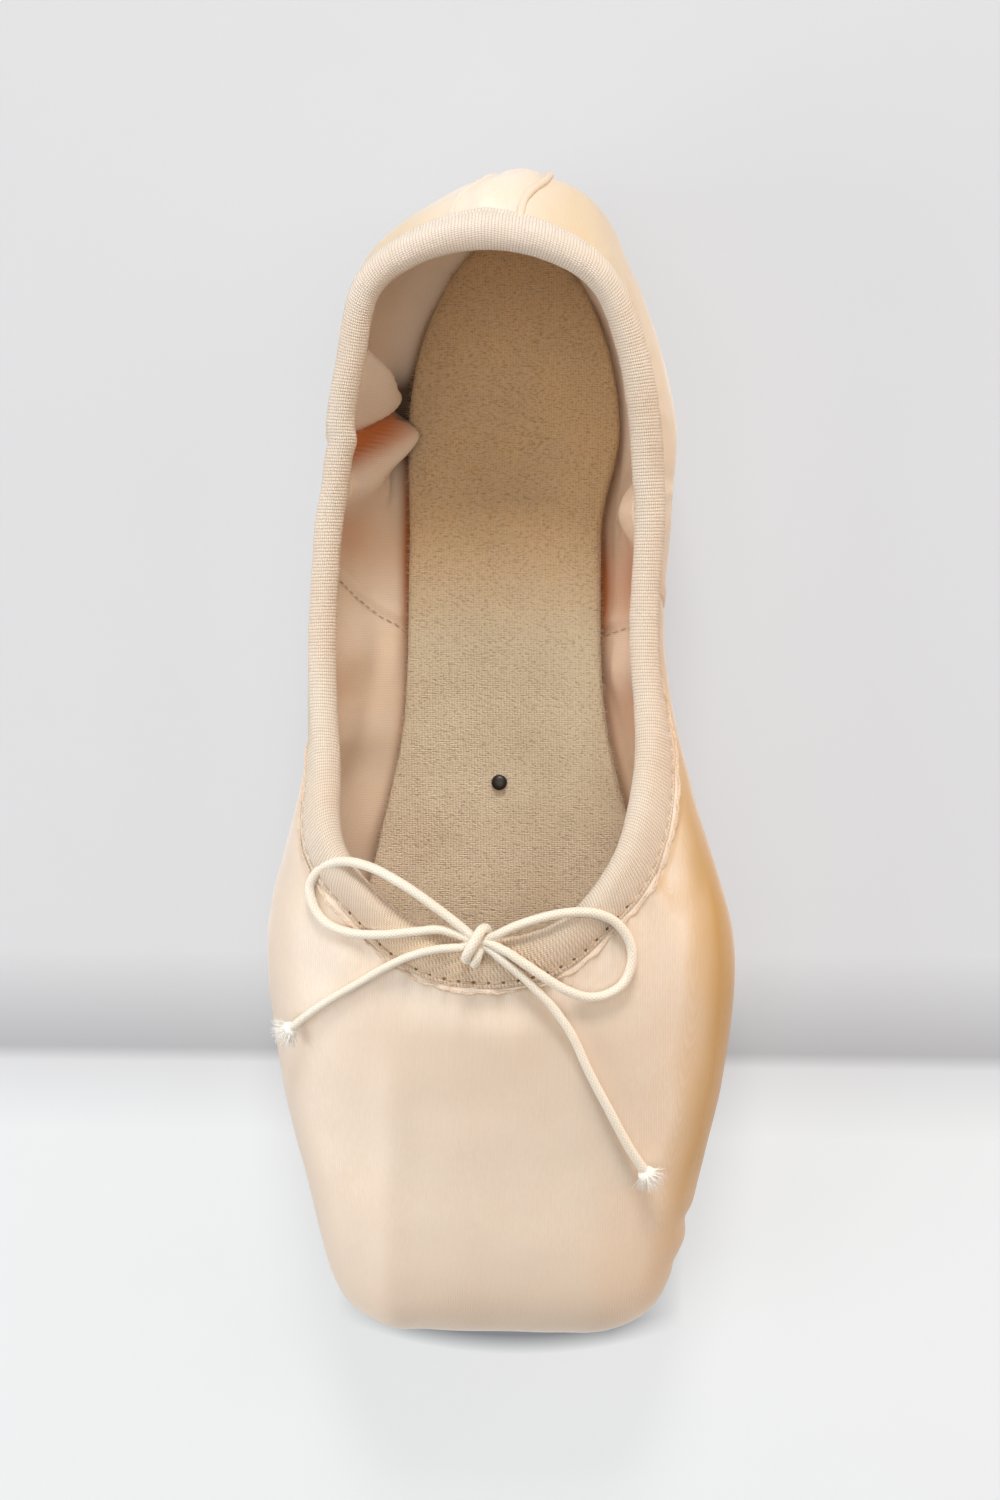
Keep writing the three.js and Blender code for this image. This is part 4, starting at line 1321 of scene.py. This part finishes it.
def build_binding(sizes, colours):
    """The tape folded over the topline, with its stitches."""
    last = Last(TAPE_STATIONS)
    wrapped_cloth(pushed(binding_grid(last, tape_section(sizes))))
    weld(SHEET_WELD)
    piece = settle("binding_tape", tape_material(colours))
    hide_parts("binding")
    build_stitches(last, sizes, colours)


def copies(model, places):
    """Turns a model into many copies of itself in one mesh. places are (centre, three scaled axes)."""
    mesh = model.data
    base = np.array([vertex.co for vertex in mesh.vertices])
    faces = [tuple(polygon.vertices) for polygon in mesh.polygons]
    vertices, polygons = [], []
    for centre, axes in places:
        start = len(vertices)
        vertices += [tuple(point * MM) for point in centre + base @ np.array(axes)]
        polygons += [tuple(start + corner for corner in face) for face in faces]
    mesh.clear_geometry()
    mesh.from_pydata(vertices, [], polygons)
    mesh.update()
    deselect()
    bpy.context.view_layer.objects.active = model
    model.select_set(True)
    return model


def ball(segments, rings):
    """A round model of radius one, for copies."""
    deselect()
    bpy.ops.mesh.primitive_uv_sphere_add(segments=segments, ring_count=rings, radius=1)
    return bpy.context.object


def thorn(sides, tip):
    """A tapered model of radius one, for copies."""
    deselect()
    bpy.ops.mesh.primitive_cone_add(vertices=sides, radius1=1, radius2=tip, depth=2)
    return bpy.context.object


def fibre(root, lean, wide, long, thick, clear):
    """The place of one fibre for copies. clear is its middle's share of its length from the root."""
    return root + lean * long * clear, (wide * thick, np.cross(lean, wide) * thick, lean * long)


def unit(vector):
    """The vector at length one."""
    return vector / np.linalg.norm(vector)


def stitch_places(points, facings, pitch, radius, seed):
    """Stitches along a line: their places for copies of a ball, and those of the needle holes between."""
    run = lengths_along(points)
    count = max(1, int(run[-1] / pitch))
    step = run[-1] / count
    draw = np.random.default_rng(seed)
    stitches, holes = [], []
    for index in range(count):
        middle = (index + 0.5) * step
        ends = [at_length(middle + side * STITCH_HALF * step, run, points) for side in (-1, 1)]
        normal = at_length(middle, run, facings)
        normal /= np.linalg.norm(normal)
        forward = ends[1] - ends[0]
        long = np.linalg.norm(forward) / 2
        forward /= 2 * long
        across = np.cross(normal, forward)
        forward = forward + across * draw.uniform(-0.12, 0.12)
        centre = (ends[0] + ends[1]) / 2 + across * draw.uniform(-0.1, 0.1) + normal * radius * 0.3
        stitches.append((centre, (across * radius * 1.2, normal * radius, forward * long)))
        hole = at_length(index * step, run, points)
        holes.append((hole, (across * radius * 1.5, normal * radius * 0.9, forward * radius * 2.0)))
    return stitches, holes


def tape_line(last, down, lift, reach):
    """A line along the tape's outside, from -reach to reach either side of the throat."""
    line = pushed(last.at(np.stack([last.total - down + nudge for nudge in (-0.5, 0, 0.5)])))
    facing = grid_normals(line)[1]
    order = stations_within(last.girth, reach)
    return line[1, order] + facing[order] * lift, facing[order]


def edge_ripple(turns, length):
    """Unevenness of the satin's turned edge."""
    return 0.00008 * np.sin(length / 0.00045 + turns) + 0.00006 * np.sin(length / 0.0013 + 2 * turns)


def build_stitches(last, sizes, colours):
    """The row of stitches at the throat with its needle holes, and the satin's turned edge beside it."""
    layer = sizes.tape_layer / MM
    radius = sizes.thread_diameter / MM / 2
    points, facings = tape_line(last, tape_width(last.girth) - 1.1, layer, 92)
    stitches, holes = stitch_places(points, facings, sizes.stitch_pitch / MM, radius, 8)
    copies(ball(*STITCH_ROUND), stitches)
    settle("binding_stitches", thread_material(colours))
    near = [hole for hole in holes if abs(hole[0][0]) < 27 and hole[0][1] < -15]
    copies(ball(*STITCH_ROUND), near)
    settle("needle_holes", hole_material(colours))
    faces = shell()
    edge, facings = faces.round_line(tape_width(faces.last.girth) + 1.0, 0.0, 88)
    draw = np.random.default_rng(17)
    waves = [(draw.uniform(0.8, 5), draw.uniform(0, 6), draw.uniform(0.04, 0.11)) for _ in range(9)]
    run = lengths_along(edge)
    wobble = sum(tall * np.sin(run / span + phase) for span, phase, tall in waves)
    ends = np.minimum(smoothstep(run, 0, 12), smoothstep(run[-1] - run, 0, 12))
    across = np.cross(facings, np.gradient(edge, axis=0))
    across /= np.linalg.norm(across, axis=1, keepdims=True)
    edge = edge + across * wobble[:, None] + facings * (0.9 * ends - 0.9)[:, None]
    tube(edge[::2] * MM, 0.00034, 10, 0.0003, edge_ripple)
    settle("satin_turned_edge", raw_edge_material(colours))


class SHOE_OT_binding(bpy.types.Operator):
    """Folds the tape over the topline and sews it down"""

    bl_idname = "shoe.binding"
    bl_label = "Binding"

    def execute(self, context):
        build_binding(context.scene.shoe_sizes, context.scene.shoe_colours)
        return {"FINISHED"}


# ---- Soles --------------------------------------------------------------------------------
SOLE_ROWS = 26
NAP_FIBRES = 2600
LINING_SEAM_ROWS = (-0.9, 2.2)


def sole_loop(table, inset):
    """Outline of a sole right round, in millimetres, evenly spaced."""
    half = outline_points(table)
    centre = np.array([0, (table[0][0] + table[-1][0]) / 2])
    right = np.stack([np.maximum(half[:, 0] - inset, 0), half[:, 1]], axis=1)
    ends = (centre[1] - right[:, 1]) / (table[-1][0] - table[0][0]) * 2
    right[:, 1] += inset * ends
    left = right[-2:0:-1] * np.array([-1, 1])
    loop = np.concatenate([right, left])
    flat = np.concatenate([loop, loop[:1]])
    even = even_points(np.column_stack([flat, np.zeros(len(flat))]), 361)[:-1]
    return even[:, :2]


def sole_rings(table, layers):
    """Rings round a sole, in millimetres: out from its spine underneath, up its edge and back on top.

    layers are (inset, height) pairs round the edge, from the underside to the top."""
    spine_ends = table[0][0] + 16, table[-1][0] - 16
    shares = np.linspace(0, 1, SOLE_ROWS)
    flats = [(sole_loop(table, inset), up) for inset, up in layers]
    inward = []
    for flat, up in (flats[0], flats[-1]):
        spine = np.stack([np.zeros(len(flat)), np.clip(flat[:, 1], *spine_ends)], axis=1)
        inward.append([(spine * (1 - share) + flat * share, up) for share in shares[:-1]])
    rings = inward[0] + flats + inward[1][::-1]
    return np.array([
        np.column_stack([flat[:, 0], flat[:, 1] - LENGTH / 2, tread(flat[:, 1]) + up]) for flat, up in rings
    ])


def close_sole(rings):
    """A closed sole laid on its rings, with the spines welded."""
    laid_grid(rings * MM)
    weld(0.00004, crushed=0.00002)


def spread(grid):
    """Points of the insole, pressed out to the right and back at the heel."""
    out = grid.copy()
    out[..., 0] += INSOLE_SPREAD * smoothstep(grid[..., 1], 44, 66) * smoothstep(grid[..., 0], 0, 13)
    out[..., 1] += INSOLE_HEEL_BACK * smoothstep(grid[..., 1], 82, 101)
    return out


def build_insole(colours):
    """The insole sock, a little uneven on top."""
    edge = ((0.5, 0), (0.1, 0.5), (0.0, 1.4), (0.15, 2.4), (0.6, 3.0), (1.4, INSOLE_THICK))
    rings = spread(sole_rings(INSOLE, [(inset, INSOLE_UP + up) for inset, up in edge]))
    top = rings[..., 2] > tread(rings[..., 1] + LENGTH / 2) + INSOLE_UP + 1
    rings[..., 2] += np.where(top, hand_made(rings, 16, 0.35, 6) + hand_made(rings, 5, 0.12, 7), 0)
    close_sole(rings)
    piece = settle("insole_sock", insole_material(colours))
    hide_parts("insole")


def build_outsole(colours):
    """The leather outsole, with its worn edge."""
    edge = ((1.0, 0.0), (0.35, 0.15), (0.0, 0.7), (0.0, 1.9), (0.3, 2.45), (0.9, SOLE_THICK))
    close_sole(sole_rings(OUTSOLE, edge))
    piece = settle("outsole_leather", leather_material(colours))
    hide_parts("outsole")


def build_nail(colours):
    """The nail's domed head in the insole."""
    low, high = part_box("insole_tack")
    middle = (low + high) / 2
    radius = (high.x - low.x) / 2
    deselect()
    bpy.ops.mesh.primitive_uv_sphere_add(segments=32, ring_count=16, radius=radius)
    bpy.ops.transform.resize(value=(1, 1, 0.5))
    bpy.ops.object.mode_set(mode="EDIT")
    bpy.ops.mesh.select_all(action="SELECT")
    bpy.ops.mesh.bisect(plane_co=(0, 0, 0), plane_no=(0, 0, 1), use_fill=True, clear_inner=True)
    bpy.ops.object.mode_set(mode="OBJECT")
    bpy.ops.transform.translate(value=(middle.x, middle.y, high.z - radius * 0.5))
    bpy.ops.object.transform_apply(location=True, rotation=True, scale=True)
    piece = settle("insole_nail", steel_material(colours))
    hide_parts("insole_tack")


def build_insole_nap(colours):
    """Short fibres standing out of the insole's cut edge."""
    edge = sole_loop(INSOLE, 0.0)
    draw = np.random.default_rng(31)
    fibres = []
    for _ in range(NAP_FIBRES):
        spot = draw.uniform(0, len(edge))
        low = int(spot) % len(edge)
        high = (low + 1) % len(edge)
        flat = edge[low] + (edge[high] - edge[low]) * (spot - int(spot))
        outward = unit(np.array([edge[high][1] - edge[low][1], edge[low][0] - edge[high][0]]))
        outward = outward * math.copysign(1, outward @ (flat - np.array([0, LENGTH / 2])))
        up = float(tread(flat[1])) + INSOLE_UP + draw.uniform(1.6, 3.1)
        root = spread(np.array([flat[0], flat[1] - LENGTH / 2, up]) - np.array([*outward, 0]) * 0.35)
        lean = unit(np.array([*(outward + draw.normal(0, 0.45, 2)), draw.normal(0.1, 0.45)]))
        wide = unit(np.cross(lean, (0, 0, 1.0)))
        fibres.append(fibre(root, lean, wide, draw.uniform(0.3, 0.75), draw.uniform(0.03, 0.06), 0.8))
    copies(thorn(3, 0.3), fibres)
    settle("insole_nap", insole_material(colours))


def piping_ripple(_, length):
    """Puckers along the piping, the same all round it."""
    return 0.00005 * math.sin(length / 0.0011) + 0.00004 * math.sin(length / 0.0004)


def beside(side, aside, up):
    """A box over one side seam, as its low and high corners."""
    spans = np.array([sorted((side * aside, side * LENGTH)), (10, 50), (up, LENGTH)])
    return spans[:, 0], spans[:, 1]


def build_seams(colours):
    """Piped seams of the back strip, pressed side seams outside, and stitched seams in the lining."""
    faces = shell()
    piping = []
    for side, radius, lift in ((-1, 0.5, -0.1), (1, 0.75, 0.1)):
        seam = functools.partial(back_seam_x, side=side)
        line, _ = faces.line((-16, 78, 4), (16, LENGTH, LENGTH), 0, seam, lift)
        piping.append(tube(even_points(line, 40) * MM, radius * MM, 12, 0.0004, piping_ripple)[0])
    for side in (-1, 1):
        line, _ = faces.line(*beside(side, 14, 4), 1, side_seam_y, -0.12)
        piping.append(tube(even_points(line, 30) * MM, 0.00038, 10, 0.0004)[0])
    join(piping)
    settle("satin_seams", satin_material(colours))
    stitches = []
    for side in (-1, 1):
        for offset in LINING_SEAM_ROWS:
            seam = functools.partial(lining_seam_y, side=side, offset=offset)
            line, facings = faces.line(*beside(side, 10, 6), 1, seam, 0.02, inside=True)
            stitches += stitch_places(line[3:], facings[3:], 1.9, 0.16, 40 + side)[0]
    copies(ball(*STITCH_ROUND), stitches)
    settle("lining_stitches", thread_material(colours))


class SHOE_OT_seams(bpy.types.Operator):
    """Sews the back strip, the side seams and the lining's seams"""

    bl_idname = "shoe.seams"
    bl_label = "Seams"

    def execute(self, context):
        build_seams(context.scene.shoe_colours)
        return {"FINISHED"}


class SHOE_OT_soles(bpy.types.Operator):
    """Lays the insole and its nail, and the leather outsole"""

    bl_idname = "shoe.soles"
    bl_label = "Soles"

    def execute(self, context):
        for build in (build_insole, build_insole_nap, build_outsole, build_nail):
            build(context.scene.shoe_colours)
        return {"FINISHED"}


# ---- Drawstring ---------------------------------------------------------------------------
# Routes of the cords' middle lines, in millimetres.
LEFT_LOOP = (
    (-0.7, -35.8, 53.9), (-3.0, -33.6, 54.6), (-8.4, -29.4, 54.9), (-15.2, -24.8, 54.6), (-22, -21.7, 52),
    (-27.3, -21, 49.4), (-32, -22.8, 45.9), (-34, -25.8, 44.9), (-33.5, -29.2, 45.3), (-30.8, -32.7, 46.5),
    (-26.1, -34.4, 48.4), (-19.6, -34.6, 51.2), (-12.5, -33.8, 53.0), (-8.1, -33.4, 53.8),
    (-4.4, -34.3, 54.1), (-1.2, -35.7, 54.1),
)
RIGHT_LOOP = (
    (-1.0, -35.7, 53.7), (1.6, -34.7, 54.2), (6.1, -32.6, 54.5), (11, -31.0, 54.4), (15.9, -30.1, 53.3),
    (20.7, -30.3, 51.6), (24.5, -32.2, 49.5), (27, -36, 48), (27.3, -39.9, 47.6), (25.9, -43.5, 47.8),
    (23, -45.6, 48.6), (19.4, -46.1, 49.8), (15.2, -44.6, 51.6), (10.9, -41.8, 53.1), (7.9, -39.7, 53.7),
    (4.4, -37.4, 54.1), (1.2, -35.9, 54.3), (-1.2, -35.6, 54.2),
)
LEFT_TAIL = (
    (-3.8, -36.5, 53.6), (-8.6, -37.1, 53.1), (-13.6, -38.4, 52.2), (-18.9, -40.9, 50.3), (-24, -43.9, 48.4),
    (-30.4, -47.7, 45.9), (-34.9, -50.8, 43.4), (-38.4, -53.6, 40.6),
)
RIGHT_TAIL = (
    (1.4, -37.2, 53.9), (4.2, -39.5, 53.4), (7.0, -41.9, 52.6), (9.6, -44.4, 51.9), (12.2, -47.2, 51.1),
    (14.4, -50.2, 50.3), (16.4, -53.5, 49.4), (19.2, -60.1, 47.6), (22.9, -67.7, 45.1), (26.7, -75.4, 42.1),
    (29.6, -80.2, 39.9),
)
CASING_HOLE = ((-0.6, -39.3, 50.9), (-1.0, -37.6, 52.4))
KNOT_WRAP = (
    (0.9, -34.4, 52.3), (0.5, -33.2, 53.8), (-0.1, -33.3, 55.0), (-0.9, -34.6, 55.8), (-1.9, -36.4, 56.0),
    (-2.8, -38.0, 55.3), (-3.1, -38.8, 53.9), (-2.4, -38.6, 52.4),
)
KNOT_LOBE = (
    (-0.8, -36.2, 53.2), (-0.7, -37.2, 54.3), (-1.0, -38.4, 54.5), (-1.4, -39.4, 53.9), (-1.7, -39.8, 52.8),
)
KNOT_HEART = {"place": (-1.0, -36.2, 53.6), "radii": (1.9, 2.3, 1.5)}
CASING_THREAD = ((-3.6, -38.5, 52.6), (-2.3, -39.6, 52.4), (-0.9, -41.0, 51.9), (0.5, -42.3, 51.2))
TUFT_FIBRES = 300


def braid(turns, length):
    """Plaits standing out of the cord's sheath."""
    run = length / PLAIT
    left = np.abs(np.sin(4 * turns + math.pi * run))
    right = np.abs(np.sin(4 * turns - math.pi * run))
    return 0.00006 * (np.maximum(left, right) - 0.9)


def drawn_thin(turns, length):
    """The braid, with the elastic a little thinner where it is stretched."""
    return braid(turns, length) - 0.00007 * (1 + math.sin(length / 0.017 + 2.2))


def in_metres(points):
    """A route in metres from one in millimetres."""
    return [(x * MM, y * MM, z * MM) for x, y, z in points]


def tuft(name, end, before, material, seed):
    """The frayed end of a cord: a brush of fine fibres."""
    end, before = np.array(end) / MM, np.array(before) / MM
    ahead = unit(end - before)
    side = unit(np.cross(ahead, (0, 0, 1.0)))
    up = np.cross(side, ahead)
    draw = np.random.default_rng(seed)
    core = copies(ball(12, 8), [(end + ahead * 0.7, (side * 1.8, up * 1.2, ahead * 1.7))])
    fibres = []
    for _ in range(TUFT_FIBRES):
        splay = draw.normal(0, 0.7, 2)
        lean = unit(ahead * draw.uniform(0.25, 1.1) + side * splay[0] + up * (abs(splay[1]) * 0.7 - 0.12))
        wide = unit(np.cross(lean, side if abs(lean @ side) < 0.9 else up))
        fibres.append(fibre(end, lean, wide, draw.uniform(1.1, 2.3), draw.uniform(0.05, 0.12), 0.9))
    join([core, copies(thorn(4, 0.25), fibres)])
    return settle(name, material)


def build_cords(sizes, colours):
    """The knot and the two cords of the bow, each a loop that runs on into an end."""
    material = cord_material(colours)
    lobe, _ = tube(in_metres(KNOT_LOBE), 0.00092, 16, 0.0002, braid)
    wrap, _ = tube(in_metres(KNOT_WRAP), 0.001, 16, 0.0002, braid)
    heart = copies(ball(16, 12), [(np.array(KNOT_HEART["place"]), np.diag(KNOT_HEART["radii"]))])
    join([wrap, lobe, heart])
    knot = settle("drawstring_knot_wrap", material)
    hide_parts("drawstring_knot")
    tube(in_metres(CASING_THREAD), 0.00032, 10, 0.0002)
    settle("casing_thread", thread_material(colours))
    routes = (
        ("drawstring_cord_a", LEFT_LOOP + RIGHT_TAIL, ("drawstring_left_loop", "drawstring_right_tail")),
        ("drawstring_cord_b", RIGHT_LOOP + LEFT_TAIL, ("drawstring_right_loop", "drawstring_left_tail")),
    )
    radius = sizes.cord_diameter / 2
    frayed = tuft_material(colours)
    for seed, (name, route, nodes) in enumerate(routes):
        _, path = tube(in_metres(CASING_HOLE + route), radius, 16, 0.00022, drawn_thin)
        piece = settle(name, material)
        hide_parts(*nodes)
        end = tuft(name.replace("cord", "tuft"), path[-1], path[-4], frayed, seed)


class SHOE_OT_drawstring(bpy.types.Operator):
    """Ties the drawstring in its bow"""

    bl_idname = "shoe.drawstring"
    bl_label = "Drawstring"

    def execute(self, context):
        build_cords(context.scene.shoe_sizes, context.scene.shoe_colours)
        return {"FINISHED"}


# ---- Stage --------------------------------------------------------------------------------
EYE = Vector((0.045, 0.0, 0.5))
AIM = Vector((0.0, 0.0, 0.02))
LENS = 58.0
FLOOR_SIZE = 4.0
WORLD_COLOUR = (1.0, 0.98, 0.96, 1)
WORLD_STRENGTH = 0.15
# Square lamps that face the shoe: places and sizes in metres, power in watts.
LIGHTS = (
    {"name": "window", "place": (0.05, 0.98, 0.76), "size": 0.36, "power": 11.1,
     "colour": (1.0, 0.99, 0.98)},
    {"name": "right_wall", "place": (0.8, 0.35, 0.55), "size": 0.6, "power": 2.4,
     "colour": (1.0, 0.98, 0.96)},
    {"name": "ceiling", "place": (0.0, -0.1, 1.3), "size": 1.2, "power": 7.2,
     "colour": (1.0, 0.985, 0.97)},
    {"name": "left_wall", "place": (-0.9, -0.25, 0.45), "size": 0.7, "power": 6.2,
     "colour": (0.985, 0.985, 1.0)},
    {"name": "warm_side", "place": (0.5, -0.05, 0.05), "size": 0.25, "power": 0.9,
     "colour": (1.0, 0.53, 0.18), "aim": Vector((0, -0.02, 0.02))},
)


def add_light(light):
    """One lamp of the table, turned to its aim."""
    deselect()
    bpy.ops.object.light_add(type="AREA", location=light["place"])
    lamp = bpy.context.object
    lamp.name = light["name"]
    lamp.data.size = light["size"]
    lamp.data.energy = light["power"]
    lamp.data.color = light["colour"]
    ahead = light.get("aim", AIM) - Vector(light["place"])
    lamp.rotation_euler = ahead.to_track_quat("-Z", "Y").to_euler()


def build_stage(colours):
    """The floor, the lights, the room's faint light and the camera."""
    deselect()
    bpy.ops.mesh.primitive_grid_add(x_subdivisions=24, y_subdivisions=24, size=FLOOR_SIZE)
    floor = bpy.context.object
    floor.name = "floor"
    floor.data.materials.append(floor_material(colours))
    for light in LIGHTS:
        add_light(light)
    world = bpy.data.worlds.new("room")
    world.use_nodes = True
    background = world.node_tree.nodes["Background"]
    background.inputs["Color"].default_value = WORLD_COLOUR
    background.inputs["Strength"].default_value = WORLD_STRENGTH
    bpy.context.scene.world = world
    bpy.context.scene.view_settings.view_transform = "Standard"
    deselect()
    bpy.ops.object.camera_add(location=EYE)
    camera = bpy.context.object
    camera.name = "camera"
    camera.data.lens = LENS
    camera.data.sensor_fit = "VERTICAL"
    camera.data.sensor_height = 36
    camera.data.clip_start = 0.01
    ahead = (AIM - EYE).normalized()
    right = ahead.cross(Vector((0, 1, 0))).normalized()
    camera.rotation_euler = Matrix((right, right.cross(ahead), -ahead)).transposed().to_euler()
    bpy.context.scene.camera = camera


class SHOE_OT_stage(bpy.types.Operator):
    """Sets the floor, the lights and the camera"""

    bl_idname = "shoe.stage"
    bl_label = "Stage"

    def execute(self, context):
        build_stage(context.scene.shoe_colours)
        return {"FINISHED"}


class SHOE_PT_panel(bpy.types.Panel):
    bl_idname = "SHOE_PT_panel"
    bl_label = "Pointe Shoe"
    bl_space_type = "VIEW_3D"
    bl_region_type = "UI"
    bl_category = "Pointe Shoe"

    def draw(self, context):
        for operator in OPERATORS:
            self.layout.operator(operator.bl_idname)
        for group in (context.scene.shoe_sizes, context.scene.shoe_colours):
            box = self.layout.box()
            for name in group.__annotations__:
                box.prop(group, name)


OPERATORS = (SHOE_OT_stage, SHOE_OT_upper, SHOE_OT_binding, SHOE_OT_seams, SHOE_OT_soles, SHOE_OT_drawstring)
CLASSES = (ShoeSizes, ShoeColours, *OPERATORS, SHOE_PT_panel)


def register():
    """Adds the shoe's settings, operators and panel to Blender."""
    for one in CLASSES:
        bpy.utils.register_class(one)
    bpy.types.Scene.shoe_sizes = bpy.props.PointerProperty(type=ShoeSizes)
    bpy.types.Scene.shoe_colours = bpy.props.PointerProperty(type=ShoeColours)


def unregister():
    """Takes them out again."""
    del bpy.types.Scene.shoe_sizes
    del bpy.types.Scene.shoe_colours
    for one in reversed(CLASSES):
        bpy.utils.unregister_class(one)


def main():
    """Builds the shoe on its stage."""
    register()
    bpy.ops.shoe.stage()
    bpy.ops.shoe.upper()
    bpy.ops.shoe.binding()
    bpy.ops.shoe.seams()
    bpy.ops.shoe.soles()
    bpy.ops.shoe.drawstring()
    deselect()
    bpy.context.view_layer.update()


if __name__ == "__main__":
    main()
